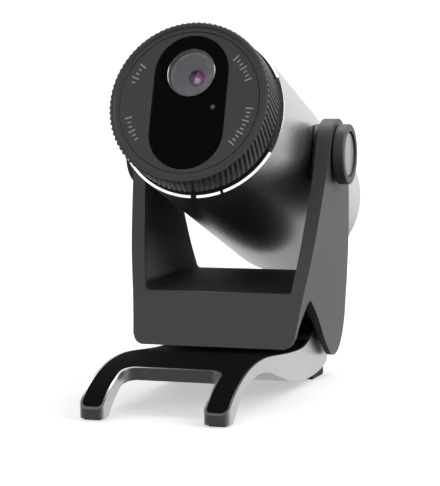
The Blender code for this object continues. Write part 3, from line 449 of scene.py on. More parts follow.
def put(obj, matrix, body, slot, *nodes, sharp=35.0, paint=None):
    """Place a drawn piece, give its finish, and stand it for CAD nodes."""
    obj.data.transform(matrix)
    bm = bmesh.new()
    bm.from_mesh(obj.data)
    bmesh.ops.recalc_face_normals(bm, faces=bm.faces)
    bm.to_mesh(obj.data)
    bm.free()
    obj.data.materials.clear()
    obj.data.materials.append(finish(paint or slot))
    obj.data.shade_smooth()
    obj.data.set_sharp_from_angle(angle=math.radians(sharp))
    flat = obj.modifiers.new("flat_faces", "WEIGHTED_NORMAL")
    flat.keep_sharp = True
    bpy.context.view_layer.update()
    bake(obj)
    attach(obj, body)
    if nodes:
        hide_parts(*nodes)
    return obj


# ============ materials
NOISE_SPAN = (0.3, 0.7)


def shader_of(name):
    """A new material; returns it, its nodes, its links and its shader."""
    mat = bpy.data.materials.new(name)
    mat.use_nodes = True
    tree = mat.node_tree
    return mat, tree.nodes, tree.links, tree.nodes["Principled BSDF"]


def noise(nodes, links, scale, detail=3.0, stretch=None):
    """Noise in object space; `scale` is per metre."""
    place = nodes.new("ShaderNodeTexCoord")
    grain = nodes.new("ShaderNodeTexNoise")
    grain.inputs["Scale"].default_value = scale
    grain.inputs["Detail"].default_value = detail
    out = place.outputs["Object"]
    if stretch:
        mapping = nodes.new("ShaderNodeMapping")
        mapping.inputs["Scale"].default_value = stretch
        links.new(out, mapping.inputs["Vector"])
        out = mapping.outputs["Vector"]
    links.new(out, grain.inputs["Vector"])
    return grain.outputs["Fac"]


def graded(nodes, links, source, start, end, low, high, kind="SMOOTHSTEP"):
    """Bring a value from the range start to end into the range low to high."""
    ramp = nodes.new("ShaderNodeMapRange")
    ramp.interpolation_type = kind
    for field, value in (("From Min", start), ("From Max", end),
                         ("To Min", low), ("To Max", high)):
        ramp.inputs[field].default_value = value
    links.new(source, ramp.inputs["Value"])
    return ramp.outputs["Result"]


def surface(name, dark, light, metallic, rough, grain, bump, patch=90.0,
            stretch=None, coat=0.0, specular=0.5, glow=0.0):
    """Two close colours mixed by a soft patch, with a fine surface grain."""
    mat, nodes, links, shader = shader_of(name)
    mix = nodes.new("ShaderNodeMix")
    mix.data_type = "RGBA"
    mix.inputs["A"].default_value = (*dark, 1.0)
    mix.inputs["B"].default_value = (*light, 1.0)
    links.new(noise(nodes, links, patch, 2.0), mix.inputs["Factor"])
    links.new(mix.outputs["Result"], shader.inputs["Base Color"])
    fine = noise(nodes, links, grain, 4.0, stretch)
    links.new(graded(nodes, links, fine, *NOISE_SPAN, *rough, "LINEAR"),
              shader.inputs["Roughness"])
    lift = nodes.new("ShaderNodeBump")
    lift.inputs["Strength"].default_value = bump
    lift.inputs["Distance"].default_value = 0.00004
    links.new(fine, lift.inputs["Height"])
    links.new(lift.outputs["Normal"], shader.inputs["Normal"])
    shader.inputs["Metallic"].default_value = metallic
    shader.inputs["Coat Weight"].default_value = coat
    shader.inputs["Specular IOR Level"].default_value = specular
    if glow:
        shader.inputs["Emission Color"].default_value = (1.0, 1.0, 1.0, 1.0)
        shader.inputs["Emission Strength"].default_value = glow
    return mat


def glass(name, tint, rough=0.02, ior=1.15):
    """Clear glass whose coating varies faintly in strength."""
    mat, nodes, links, shader = shader_of(name)
    shader.inputs["Base Color"].default_value = (*tint, 1.0)
    shader.inputs["Transmission Weight"].default_value = 1.0
    shader.inputs["IOR"].default_value = ior
    shader.inputs["Specular IOR Level"].default_value = 0.12
    soft = noise(nodes, links, 300.0, 2.0)
    links.new(graded(nodes, links, soft, *NOISE_SPAN, rough, rough + 0.02,
                     "LINEAR"), shader.inputs["Roughness"])
    return mat


def grey(value):
    return (value, value, value * 1.03)


def liner_with_painted_shade(name):
    """Matt grey lining, darker on the deck than on the arms through painted shade."""
    mat = surface(name, grey(0.165), grey(0.185), 0.0, (0.60, 0.74),
                  4200.0, 0.30, specular=0.03)
    nodes, links = mat.node_tree.nodes, mat.node_tree.links
    shader = nodes["Principled BSDF"]
    source = shader.inputs["Base Color"].links[0].from_socket
    place = nodes.new("ShaderNodeTexCoord")
    split = nodes.new("ShaderNodeSeparateXYZ")
    links.new(place.outputs["Object"], split.inputs["Vector"])
    # Painted shade: below LINER_SHADE_Z the liner's colour is multiplied down to a fifth, so the deck looks
    # shaded.
    level = graded(nodes, links, split.outputs["Z"], *LINER_SHADE_Z, 0.2, 1.0)
    shade = nodes.new("ShaderNodeMix")
    shade.data_type = "RGBA"
    shade.blend_type = "MULTIPLY"
    shade.inputs["Factor"].default_value = 1.0
    links.new(source, shade.inputs["A"])
    links.new(level, shade.inputs["B"])
    links.new(shade.outputs["Result"], shader.inputs["Base Color"])
    return mat


def iris_coating_and_painted_light(name):
    """Pink to violet anti-reflection coating, changing with the angle, with a painted highlight and a painted
    glow.
    """
    mat, nodes, links, shader = shader_of(name)
    edge = nodes.new("ShaderNodeLayerWeight")
    edge.inputs["Blend"].default_value = 0.55
    patch = noise(nodes, links, 950.0, 1.0)
    blend = nodes.new("ShaderNodeMath")
    blend.operation = "MULTIPLY_ADD"
    blend.inputs[1].default_value = 0.7
    links.new(patch, blend.inputs[0])
    links.new(edge.outputs["Facing"], blend.inputs[2])
    # The change from pink to dark magenta with the angle is the coating's own; the pale pink where the pupil faces
    # the view is also a painted highlight.
    ramp = nodes.new("ShaderNodeValToRGB")
    ramp.color_ramp.elements[0].position = 0.28
    ramp.color_ramp.elements[0].color = (0.34, 0.10, 0.30, 1.0)
    ramp.color_ramp.elements[1].position = 0.70
    ramp.color_ramp.elements[1].color = (0.03, 0.006, 0.022, 1.0)
    links.new(blend.outputs["Value"], ramp.inputs["Fac"])
    links.new(ramp.outputs["Color"], shader.inputs["Base Color"])
    # Painted light: the emission makes the pupil glow, though no lamp lights it.
    links.new(ramp.outputs["Color"], shader.inputs["Emission Color"])
    shader.inputs["Emission Strength"].default_value = 0.18
    shader.inputs["Roughness"].default_value = 0.06
    shader.inputs["Coat Weight"].default_value = 0.3
    return mat


def recipe(*values, **more):
    """A surface() with its settings, still to be given its name."""
    return lambda name: surface(name, *values, **more)


# Colours, metallic, roughness range, grain per metre and bump of each finish.
RECIPES = {
    "yoke_grey": recipe(
        grey(0.072), grey(0.080), 0.0, (0.42, 0.56), 5200.0, 0.30),
    "liner_grey": liner_with_painted_shade,
    "satin_aluminium": recipe(
        (0.57, 0.57, 0.58), (0.61, 0.61, 0.62), 1.0,
        (0.24, 0.31), 9000.0, 0.05),
    "foot_silver": recipe(
        (0.51, 0.52, 0.53), (0.56, 0.57, 0.58), 0.95,
        (0.27, 0.36), 7000.0, 0.08),
    "pad_black": recipe(
        grey(0.0045), grey(0.0062), 0.0,
        (0.66, 0.80), 3600.0, 0.25, specular=0.03),
    "rubber_black": recipe(
        grey(0.009), grey(0.013), 0.0, (0.66, 0.82), 2600.0, 0.45),
    "ring_grey": recipe(
        grey(0.088), grey(0.102), 0.35, (0.34, 0.46), 6000.0, 0.15),
    "plate_grey": recipe(
        grey(0.060), grey(0.066), 0.0, (0.46, 0.58), 6500.0, 0.22),
    "window_black": recipe(
        grey(0.0032), grey(0.0040), 0.0,
        (0.045, 0.075), 500.0, 0.0, specular=0.18),
    "lens_glass": lambda name: glass(name, (0.90, 0.92, 0.93)),
    # The lens cell's glow is painted light: an even emission that stands in for lamp light reaching the cone
    # through the front glass.
    "lens_cell_grey": recipe(
        grey(0.085), grey(0.100), 0.0,
        (0.40, 0.52), 5200.0, 0.12, specular=0.15, glow=0.075),
    "bezel_bright": recipe(
        grey(0.52), grey(0.60), 1.0, (0.18, 0.26), 6000.0, 0.04),
    "dot_grey": recipe(
        grey(0.10), grey(0.13), 0.0,
        (0.55, 0.68), 5200.0, 0.05, specular=0.1),
    "light_white": recipe(
        (0.92, 0.93, 0.94), (0.97, 0.97, 0.97), 0.0,
        (0.25, 0.36), 2400.0, 0.05, glow=0.85),
    "steel": recipe(
        (0.52, 0.52, 0.53), (0.60, 0.60, 0.61), 1.0, (0.22, 0.34), 3000.0,
        0.10, stretch=(1.0, 1.0, 14.0)),
    "cap_silver": recipe(
        (0.40, 0.40, 0.41), (0.46, 0.46, 0.47), 1.0,
        (0.32, 0.42), 6000.0, 0.10),
    "board_green": recipe(
        (0.012, 0.085, 0.035), (0.022, 0.125, 0.055), 0.0,
        (0.34, 0.50), 1500.0, 0.30, patch=900.0),
    "chip_black": recipe(
        grey(0.014), grey(0.022), 0.0, (0.44, 0.60), 5000.0, 0.25),
    "frame_plastic": recipe(
        grey(0.022), grey(0.028), 0.0, (0.50, 0.66), 4200.0, 0.35),
    "brass": recipe(
        (0.56, 0.39, 0.15), (0.66, 0.47, 0.20), 1.0,
        (0.24, 0.38), 3400.0, 0.10),
    "tick_ink": recipe(grey(0.40), grey(0.46), 0.0, (0.48, 0.60), 5000.0, 0.1),
    "iris_coating_and_painted_light": iris_coating_and_painted_light,
}
MADE = {}


def finish(name):
    if name not in MADE:
        MADE[name] = RECIPES[name](name)
    return MADE[name]


# ============ yoke
def tangent_angle(radius, point, side, centre=(0.0, 0.0)):
    """Angle (degrees) where a line from `point` touches a circle."""
    x, y = point[0] - centre[0], point[1] - centre[1]
    away = math.atan2(y, x)
    open_half = math.acos(radius / math.hypot(x, y))
    return math.degrees(away + side * open_half)


def tongue_arc(steps):
    """Rounded lower end of the tongue, touching the notch and rear lines."""
    start = tangent_angle(TONGUE_RADIUS, NOTCH[-1], 1, HINGE)
    end = tangent_angle(TONGUE_RADIUS, REAR_LINE[-1], -1, HINGE)
    return arc(HINGE, TONGUE_RADIUS, start, end, steps)


def arm_outline(head_radius, front_foot, rear_line, steps):
    """Arm seen from the side: head circle with both edges tangent to it."""
    front = tangent_angle(head_radius, front_foot, -1)
    rear = tangent_angle(head_radius, rear_line[0], 1)
    head = arc((0.0, 0.0), head_radius, rear, front + 360.0, steps)
    return [tuple(p) for p in reversed(rear_line)] + head


def yoke_side():
    outline = arm_outline(ARM_HEAD_RADIUS, FRONT_FOOT,
                          smooth_line(REAR_LINE, 4), 56)
    outline.append(FRONT_FOOT)
    outline += smooth_line(NOTCH, 4)
    return outline + tongue_arc(40)


def outer_outline():
    right = [(value_at(YOKE_OUTER, z), z) for z in evenly(-54.0, 12.0, 44)]
    return right + [(-x, z) for x, z in reversed(right)]


def gap_section(y, offset):
    """Front view of the space between the arms, grown by `offset`."""
    floor = FLOOR_Z_MID + FLOOR_SLOPE * y - offset
    radius = FLOOR_FILLET + offset
    wide = value_at(YOKE_INNER, floor + radius) + offset
    right = arc((wide - radius, floor + radius), radius, -90.0, 0.0, 12)
    right += [(value_at(YOKE_INNER, z) + offset, z)
              for z in evenly(-24.0, 16.0, 28)]
    left = [(-x, z) for x, z in reversed(right)]
    return [(x, y, z) for x, z in right + left]


def gap_solid(name, offset, ends=CUT_Y):
    return loft(name, [gap_section(y, offset) for y in ends])


def front_wall_y(z, depth):
    (y0, z0), (y1, z1) = FRONT_TOP, FRONT_FOOT
    return y0 + (y1 - y0) * (z - z0) / (z1 - z0) + depth


def deck_cavity():
    """Hollow under the crossbar, open downwards for the foot lug."""
    low, foot = CUT_Y[0], FRONT_FOOT[1]
    outline = [(front_wall_y(low, FRONT_WALL) + 5.0, low),
               (front_wall_y(foot, FRONT_WALL), foot - 0.1),
               (front_wall_y(DECK_UNDER_Z, FRONT_WALL), DECK_UNDER_Z),
               (DECK_UNDER_REAR_Y, DECK_UNDER_Z)]
    outline += arc(HINGE, LUG_RADIUS + LUG_AIR, 42.0, -9.0, 20)
    outline += [(CUT_X[1], -42.4), (CUT_X[1], low)]
    return prism_x("cavity", outline, -TONGUE_INNER_X, TONGUE_INNER_X)


def liner_side(grow):
    """Side outline of the inner liner, or of its pocket when grown."""
    rear = [(y - LINER_REAR_LIP + grow, z) for y, z in REAR_LINE
            if z > LINER_FOOT_Z]
    depth = LINER_FRONT_LIP - grow
    front_foot = (front_wall_y(LINER_FOOT_Z, depth), LINER_FOOT_Z)
    side = arm_outline(LINER_HEAD_RADIUS + grow, front_foot, rear, 48)
    side += [front_foot, (rear[-1][0], LINER_FOOT_Z)]
    return prism_x("side", side, -40.0, 40.0)


def make_liner():
    """Thin liner on the inside of the arms and on the deck, painted darker on the deck as shade."""
    liner = gap_solid("arm_liner", LINER_THICK)
    cut(liner, gap_solid("inside", 0.0, (CUT_Y[0] - 10.0, CUT_Y[1] + 10.0)))
    keep(liner, liner_side(0.0))
    cut(liner, rod("bore", LINER_BORE, *CUT_X, "X"))
    tidy(liner, angle=0.1)
    put(liner, STAND, "yoke", "liner_grey", "yoke_liner", sharp=28.0)


def corner_cutter(side):
    """Shape that rounds one lower corner of the front wall."""
    low = FRONT_FOOT[1]
    wide = value_at(YOKE_OUTER, low)
    centre = (wide - CORNER_RADIUS, low + CORNER_RADIUS)
    outline = arc(centre, CORNER_RADIUS, -90.0, -8.0, 16)
    outline += [(wide + 3.0, low + CORNER_RADIUS), (wide + 3.0, low - 2.0),
                (centre[0], low - 2.0)]
    return prism_y("corner", [(side * x, z) for x, z in outline], -40.0,
                   -14.0)


def make_yoke():
    shell = prism_x("yoke_arms", yoke_side(), *CUT_X)
    keep(shell, prism_y("outer", outer_outline(), *CUT_Y))
    cut(shell, gap_solid("gap", 0.0))
    cut(shell, keep(gap_solid("rebate", LINER_THICK + LINER_SEAM),
                    liner_side(LINER_SEAM)))
    tidy(shell, angle=0.1)
    cut(shell, corner_cutter(1.0), corner_cutter(-1.0), deck_cavity())
    for side in (1.0, -1.0):
        cut(shell, side_rod("bore", BEARING_HOLE, side, BEARING_HOLE_X),
            side_rod("pin_hole", PIN_HOLE, side, PIN_BLIND_X, HINGE))
    tidy(shell, angle=0.1)
    round_edges(shell, YOKE_EDGE, 3, 38.0)
    put(shell, STAND, "yoke", "yoke_grey", "yoke_shell", sharp=28.0)


# ============ foot
def foot_side():
    rise = arc(HINGE, LUG_RADIUS, *LUG_ARC_DEG, 60)
    return (smooth_line(FOOT_TOP, 4) + rise + FOOT_HEEL
            + smooth_line(FOOT_BOTTOM, 4))


def fork_outline(inset, rear_y):
    wide = FOOT_HALF - inset
    slot_half = FORK_HALF_GAP + inset
    root = FORK_ROOT_Y + inset
    tip = TIP_Y + inset
    outer = max(TIP_RADIUS - inset, 0.6)
    inner = outer * 0.7
    return rounded([
        (-wide, rear_y, 0.0), (-wide, tip, outer), (-slot_half, tip, inner),
        (-slot_half, root, FORK_FILLET), (slot_half, root, FORK_FILLET),
        (slot_half, tip, inner), (wide, tip, outer), (wide, rear_y, 0.0)])


def top_band(low, high):
    """Strip that follows the foot's upper face, seen from the side."""
    top = [p for p in smooth_line(FOOT_TOP, 4) if p[0] < PAD_END_Y]
    first = (TIP_Y - 2.0, top[0][1] - 1.9)
    top = [first] + top + [(PAD_END_Y, value_at(FOOT_TOP, PAD_END_Y))]
    return ([(y, z + high) for y, z in top]
            + [(y, z + low) for y, z in reversed(top)])


def sole_outline(sign, grow):
    x0, x1 = SOLE_X[0] - grow, SOLE_X[1] + grow
    y0, y1 = SOLE_Y[0] - grow, SOLE_Y[1] + grow
    corners = rounded([(x, y, SOLE_CORNER)
                       for x, y in rectangle(x0, x1, y0, y1)])
    return [(sign * x, y) for x, y in corners]


def make_foot():
    casting = prism_x("foot_body", foot_side(), -FOOT_HALF, FOOT_HALF)
    keep(casting, prism_z("plan", fork_outline(0.0, 40.0), *PLAN_Z))
    tidy(casting)
    round_edges(casting, FOOT_EDGE, 3, 40.0)
    recess = prism_x("recess", top_band(-PAD_DEPTH, 3.0), *CUT_X)
    keep(recess, prism_z("plan", fork_outline(PAD_RIM, PAD_END_Y), *PLAN_Z))
    cut(casting, recess)
    cut(casting, rod("pin_hole", PIN_HOLE, -20.0, 20.0, "X", HINGE))
    for sign in (1.0, -1.0):
        cut(casting, prism_z("sole_pocket", sole_outline(sign, SOLE_SEAT_GAP),
                             CUT_Y[0], SOLE_TOP + SOLE_SEAT_GAP))
    tidy(casting)
    put(casting, STAND, "foot", "foot_silver", "foot_casting", sharp=28.0)

    pad = prism_x("foot_cushion", top_band(-PAD_THICK, 0.0), *CUT_X)
    keep(pad, prism_z("plan", fork_outline(PAD_RIM + PAD_GAP,
                                           PAD_END_Y - PAD_GAP),
                      *PLAN_Z))
    tidy(pad)
    round_edges(pad, 0.16, 2, 40.0)
    put(pad, STAND, "foot", "pad_black", "foot_top_pad", sharp=28.0)


# ============ head
def sector(name, r0, r1, y0, y1, start, end, steps, lip=0.0):
    """Piece of a ring about the Y axis, its front outer edges eased."""
    sections = []
    for k in range(steps + 1):
        angle = math.radians(start + (end - start) * k / steps)
        c, s = math.cos(angle), math.sin(angle)
        shape = [(r0, y0 + lip), (r0 + lip, y0), (r1 - lip, y0),
                 (r1, y0 + lip), (r1, y1), (r0, y1)]
        if lip == 0.0:
            shape = [(r0, y0), (r1, y0), (r1, y1), (r0, y1)]
        sections.append([(r * c, y, r * s) for r, y in shape])
    return loft(name, sections)


def make_barrel():
    nose = arc((BARREL_RADIUS - 0.3, BARREL_FRONT + 0.3), 0.3, -90.0, 0.0, 6)
    tail = arc((BARREL_RADIUS - REAR_ROUND, BARREL_REAR - REAR_ROUND),
               REAR_ROUND, 0.0, 90.0, 24)
    lip = arc((REAR_BORE + 0.4, BARREL_REAR - 0.4), 0.4, 90.0, 180.0, 6)
    profile = [(BARREL_BORE, BARREL_FRONT)] + nose + tail + lip
    profile += [(REAR_BORE, REAR_WALL_Y), (BARREL_BORE, REAR_WALL_Y)]
    shell = spin("barrel_tube", profile, "Y", 240)
    for start, end in NOTCH_ARCS:
        steps = round((end - start) / 1.5)
        cut(shell, sector("notch", BARREL_BORE - 1.3, BARREL_RADIUS + 1.3,
                          BARREL_FRONT - 1.0, LIGHT_BACK + 0.04, start, end,
                          steps))
    for sign in (1.0, -1.0):
        cut(shell, side_rod("bore", SHAFT_HOLE, sign, SHAFT_HOLE_X))
    tidy(shell, angle=0.05)
    put(shell, HEAD, "head", "satin_aluminium", "barrel_shell", sharp=30.0)

    for name, (start, end) in LIGHT_ARCS.items():
        guide = sector("glow_" + name, LIGHT_INNER, LIGHT_OUTER,
                       BARREL_FRONT, LIGHT_BACK, start, end,
                       round(end - start), lip=0.10)
        put(guide, HEAD, "head", "light_white", "light_" + name)
    for k, (start, end) in enumerate(NOTCH_ARCS):
        bed = sector(f"light_bed_{k}", BARREL_BORE + 0.05,
                     LIGHT_INNER - 0.02, BARREL_FRONT + 0.06, LIGHT_BACK,
                     start + 0.1, end - 0.1, round(end - start))
        put(bed, HEAD, "head", "frame_plastic")
    for k, (start, end) in enumerate(DARK_BARS):
        bar = sector(f"light_bar_{k}", LIGHT_INNER, LIGHT_OUTER,
                     BARREL_FRONT + 0.02, LIGHT_BACK, start, end, 4)
        put(bar, HEAD, "head", "frame_plastic")


def tooth_height(phase):
    """0 at the groove and 1 on the flat of a tooth, with eased flanks."""
    swing = 0.5 + 0.5 * math.cos(2.0 * math.pi * phase)
    return min(1.0, max(0.0, 1.5 * swing - 0.15)) ** 0.8


def make_ring():
    """Turning ring: a rounded front lip, slanted knurl and plain back band."""
    points = TEETH * TOOTH_POINTS
    knurl_front = RING_FRONT + KNURL_FRONT_INSET
    front, outer, back = RING_FRONT, RING_RADIUS, KNURL_BACK_Y
    bands = [(front + 0.04, SLEEVE_BORE, 0.0), (front, SLEEVE_BORE + 0.05, 0.0),
             (front, outer - 0.40, 0.0), (front + 0.06, outer - 0.32, 0.0),
             (front + 0.12, outer - 0.26, 0.2),
             (front + 0.24, outer - 0.06, 0.8)]
    bands += [(y, outer, 1.0) for y in evenly(knurl_front, back, 12)]
    bands += [(back + 0.15, outer - 0.25, 0.3),
              (back + 0.30, outer - 0.42, 0.0),
              (back + 0.45, outer - 0.30, 0.0),
              (RING_BACK - 0.12, outer - 0.30, 0.0),
              (RING_BACK, outer - 0.40, 0.0), (RING_BACK, SLEEVE_BORE, 0.0)]
    length = back - knurl_front
    rows = []
    for y, radius, depth in bands:
        along = min(1.0, max(0.0, (y - knurl_front) / length))
        twist = math.radians(TOOTH_TWIST_DEG) * along
        row = []
        for k in range(points):
            groove = 1.0 - tooth_height(k / TOOTH_POINTS)
            r = radius - TOOTH_DEPTH * depth * groove
            angle = 2.0 * math.pi * k / points - twist
            row.append((r * math.cos(angle), y, r * math.sin(angle)))
        rows.append(row)
    sleeve = loft("grip_knurl", rows, closed_path=True)
    put(sleeve, HEAD, "focus_ring", "ring_grey", "grip_sleeve", sharp=50.0)

    profile = [(CORE_RADIUS, RING_BACK - 0.3), (CORE_RADIUS, RING_FRONT + 1.9),
               (CORE_EDGE, RING_FRONT + 1.9), (CORE_EDGE, RING_FRONT + 0.02),
               (CORE_EDGE - 0.1, RING_FRONT + 0.02),
               (CORE_FLAT + 0.1, PLATE_FRONT - 0.06),
               (CORE_FLAT, PLATE_FRONT - 0.02),
               (CORE_BORE + 0.05, PLATE_FRONT - 0.02),
               (CORE_BORE, PLATE_FRONT + 0.03)]
    profile += [(CORE_BORE, PLATE_BACK - 0.8),
                (CORE_INNER, PLATE_BACK - 0.8), (CORE_INNER, CORE_TAIL_Y),
                (CORE_TAIL_RADIUS, CORE_TAIL_Y),
                (CORE_TAIL_RADIUS, RING_BACK - 0.3)]
    core = spin("ring_front", profile, "Y", 200)
    put(core, HEAD, "focus_ring", "ring_grey", "ring_core", sharp=40.0,
        paint="plate_grey")


def stadium(half_width, centre, steps=48):
    return (arc((0.0, centre), half_width, 0.0, 180.0, steps)
            + arc((0.0, -centre), half_width, 180.0, 360.0, steps))


def tick(angle_deg, length, name):
    """Small radial bar with round ends, standing just proud of the plate."""
    half = TICK_WIDE / 2.0
    bar = (arc((TICK_RADIUS + length / 2.0 - half, 0.0), half, -90.0, 90.0, 8)
           + arc((TICK_RADIUS - length / 2.0 + half, 0.0), half, 90.0, 270.0,
                 8))
    angle = math.radians(angle_deg)
    c, s = math.cos(angle), math.sin(angle)
    turned = [(x * c - z * s, x * s + z * c) for x, z in bar]
    return prism_y(name, turned, PLATE_FRONT - TICK_PROUD,
                   PLATE_FRONT - 0.005)


def make_face():
    front = PLATE_FRONT
    plate = spin("front_plate", [
        (0, PLATE_BACK), (PLATE_RADIUS, PLATE_BACK),
        (PLATE_RADIUS, front + 0.10),
        (PLATE_RADIUS - 0.03, front + 0.03),
        (PLATE_RADIUS - 0.10, front), (0, front)], "Y", 200)
    cut(plate, prism_y("recess", stadium(WINDOW_HALF + 0.16, WINDOW_CENTRE),
                       front - 1.0, front + 1.1))
    cut(plate, rod("lens_hole", PLATE_LENS_HOLE, *FACE_CUT_Y, "Y",
                   (0.0, LENS_Z), 96))
    tidy(plate, angle=0.05)
    put(plate, HEAD, "head", "plate_grey", "face_plate", sharp=30.0)

    window = prism_y("front_window", stadium(WINDOW_HALF, WINDOW_CENTRE),
                     front + 0.05, front + 0.82)
    round_edges(window, 0.12, 3, 50.0)
    cut(window, rod("lens_hole", WINDOW_LENS_HOLE, *FACE_CUT_Y, "Y",
                    (0.0, LENS_Z), 96))
    cut(window, rod("dot_hole", DOT_HOLE, *FACE_CUT_Y, "Y", DOT, 40))
    tidy(window, angle=0.05)
    put(window, HEAD, "head", "window_black", "window_glass", sharp=30.0)

    dot = spin("indicator_dome", [
        (0, front), (0.25, front + 0.02),
        (0.45, front + 0.09), (0.57, front + 0.22),
        (0.57, front + 0.75), (0, front + 0.75)], "Y", 40, DOT)
    put(dot, HEAD, "head", "cap_silver", "indicator_lens", paint="dot_grey")

    for group, (start, end, count) in enumerate(TICK_GROUPS):
        for k in range(count):
            angle = start + (end - start) * k / (count - 1)
            length = TICK_LONG if k % 3 == 0 else TICK_SHORT
            mark = tick(angle, length, f"tick_{group}_{k}")
            put(mark, HEAD, "head", "plate_grey", paint="tick_ink")


def make_lens():
    at = (0.0, LENS_Z)
    front = PLATE_FRONT
    holder = spin("lens_bezel", [
        (5.26, front + 0.04), (5.30, front - 0.16), (5.38, front - 0.24),
        (5.46, front - 0.18), (5.5, front), (5.5, -31.0), (7.1, -31.0),
        (7.1, -28.6), (6.2, -28.6), (6.2, -30.0), (5.26, -30.0)], "Y", 128, at)
    put(holder, HEAD, "head", "lens_cell_grey", "lens_holder",
        paint="bezel_bright")

    cell = spin("lens_cone", [
        (1.9, PUPIL_Y), (1.98, PUPIL_Y - 0.12), (4.4, front + 1.55),
        (4.48, front + 1.4), (5.12, front + 1.3), (5.18, front + 1.45),
        (5.18, -31.2), (3.4, -31.2), (3.4, -32.6), (1.9, -33.6)],
        "Y", 128, at)
    put(cell, HEAD, "lens", "lens_cell_grey", "lens_cell")

    steps = 20
    dome = [(5.16 * k / steps, front + 0.95 - 0.95 * (1 - (k / steps) ** 2))
            for k in range(steps + 1)]
    back = [(4.7 * k / steps, front + 1.1 - 0.55 * (1 - (k / steps) ** 2))
            for k in reversed(range(steps + 1))]
    glass_dome = spin("lens_dome", dome + back, "Y", 128, at)
    put(glass_dome, HEAD, "lens", "lens_glass", "lens_front_glass")

    curve = [(PUPIL_RADIUS * k / steps,
              PUPIL_Y - 0.04 - 0.34 * (1 - (k / steps) ** 2))
             for k in range(steps + 1)]
    rear = PUPIL_Y + 0.9
    inner = spin("lens_pupil", curve + [(PUPIL_RADIUS, rear), (0, rear)],
                 "Y", 96, at)
    put(inner, HEAD, "lens", "lens_glass", "lens_inner_glass",
        paint="iris_coating_and_painted_light")


# ============ pivots
def make_pivots():
    for name, sign in SIDES:
        boss = side_spin("boss_" + name, [
            (SHAFT_HOLE, BOSS_INNER), (BOSS_RADIUS, BOSS_INNER),
            (BOSS_RADIUS, BOSS_OUTER - 0.35),
            (BOSS_RADIUS - 0.1, BOSS_OUTER - 0.1),
            (BOSS_RADIUS - 0.35, BOSS_OUTER), (SHAFT_HOLE, BOSS_OUTER)],
            sign, 128)
        cut(boss, rod("saddle", BARREL_RADIUS + SADDLE_GAP, -20.0, 20.0, "Y",
                      steps=240))
        tidy(boss, angle=0.05)
        put(boss, HEAD, "head", "yoke_grey", "pivot_boss_" + name)

        edge = [(0.0, 0.0), (0.035, 0.17), (0.12, 0.30), (0.25, 0.385),
                (0.42, 0.42)]
        rim = [(CAP_RADIUS - out, CAP_OUTER - 0.42 + along)
               for out, along in edge]
        cap = side_spin("cap_" + name, [
            (0, CAP_SOCKET_X), (CAP_SOCKET, CAP_SOCKET_X),
            (CAP_SOCKET, CAP_INNER), (CAP_RADIUS - 0.34, CAP_INNER),
            (CAP_RADIUS - 0.1, CAP_INNER + 0.1),
            (CAP_RADIUS, CAP_INNER + 0.34)] + rim + [
            (CAP_DISH + 0.12, CAP_OUTER), (CAP_DISH + 0.02, CAP_OUTER - 0.1),
            (CAP_DISH, CAP_DISH_X), (0, CAP_DISH_X)], sign, 160)
        put(cap, HEAD, "head", "yoke_grey", "pivot_cap_" + name)

        low, high = DISC_X
        disc = side_spin("disc_" + name, [
            (0, low), (DISC_RADIUS, low), (DISC_RADIUS, high - 0.16),
            (DISC_RADIUS - 0.05, high - 0.05), (DISC_RADIUS - 0.16, high),
            (0, high)], sign, 160)
        put(disc, HEAD, "head", "cap_silver", "cap_disc_" + name)


def make_bearings():
    """Pin, washers, bushes and shafts, with eased edges."""
    end = PIN_HIGH.x
    pin = spin("pin", [
        (0, -end), (PIN_RADIUS - 0.3, -end), (PIN_RADIUS - 0.08, 0.18 - end),
        (PIN_RADIUS, 0.4 - end), (PIN_RADIUS, end - 0.4),
        (PIN_RADIUS - 0.08, end - 0.18), (PIN_RADIUS - 0.3, end), (0, end)],
        "X", 64, HINGE)
    put(pin, STAND, "foot", "steel", "hinge_pin")
    for name, sign in SIDES:
        for part, radii, ends, slot, centre in (
                ("hinge_washer_", WASHER_RADII, WASHER_X, "steel", HINGE),
                ("arm_bush_", BUSH_RADII, BUSH_X, "brass", (0.0, 0.0))):
            inner, outer = radii
            low, high = ends
            collar = side_spin("turned_" + part + name, [
                (inner, low), (outer - 0.08, low), (outer, low + 0.08),
                (outer, high - 0.08), (outer - 0.08, high), (inner, high)],
                sign, 96, centre)
            put(collar, STAND, "yoke", slot, part + name)
        head_radius, head_end = SHAFT_HEAD
        tip = SHAFT_HIGH.x
        shaft = side_spin("shaft_" + name, [
            (0, SHAFT_LOW.x), (head_radius, SHAFT_LOW.x),
            (head_radius, head_end), (SHAFT_RADIUS, head_end),
            (SHAFT_RADIUS, tip - 0.3), (SHAFT_RADIUS - 0.1, tip - 0.1),
            (SHAFT_RADIUS - 0.3, tip), (0, tip)], sign, 64)
        put(shaft, HEAD, "head", "steel", "pivot_shaft_" + name)


# ============ rear
def slot_outline(half_x, half_z, steps=24):
    right = arc((half_x - half_z, PORT_Z), half_z, -90.0, 90.0, steps)
    left = arc((half_z - half_x, PORT_Z), half_z, 90.0, 270.0, steps)
    return right + left


def make_rear_panel():
    edge = 0.2
    panel = spin("rear_disc", [
        (0, PANEL_FRONT), (PANEL_RADIUS, PANEL_FRONT),
        (PANEL_RADIUS, PANEL_REAR - edge),
        (PANEL_RADIUS - 0.06, PANEL_REAR - 0.06),
        (PANEL_RADIUS - edge, PANEL_REAR), (0, PANEL_REAR)], "Y", 160)
    cut(panel, prism_y("slot", slot_outline(*PORT_HALF), *REAR_CUT_Y))
    for x in (-SCREW_X, SCREW_X):
        cut(panel, rod("seat", SCREW_SEAT_RADIUS, SCREW_SEAT_Y, 60.0, "Y",
                       (x, 0.0)))
        cut(panel, rod("hole", 1.2, *REAR_CUT_Y, "Y", (x, 0.0), 40))
    for k in range(VENTS):
        x = VENT_PITCH * (k - (VENTS - 1) / 2.0)
        cut(panel, rod("vent", VENT_RADIUS, *REAR_CUT_Y, "Y", (x, VENT_Z),
                       40))
    tidy(panel, angle=0.05)
    round_edges(panel, 0.07, 2, 50.0)
    put(panel, HEAD, "head", "frame_plastic", "rear_panel", sharp=30.0)


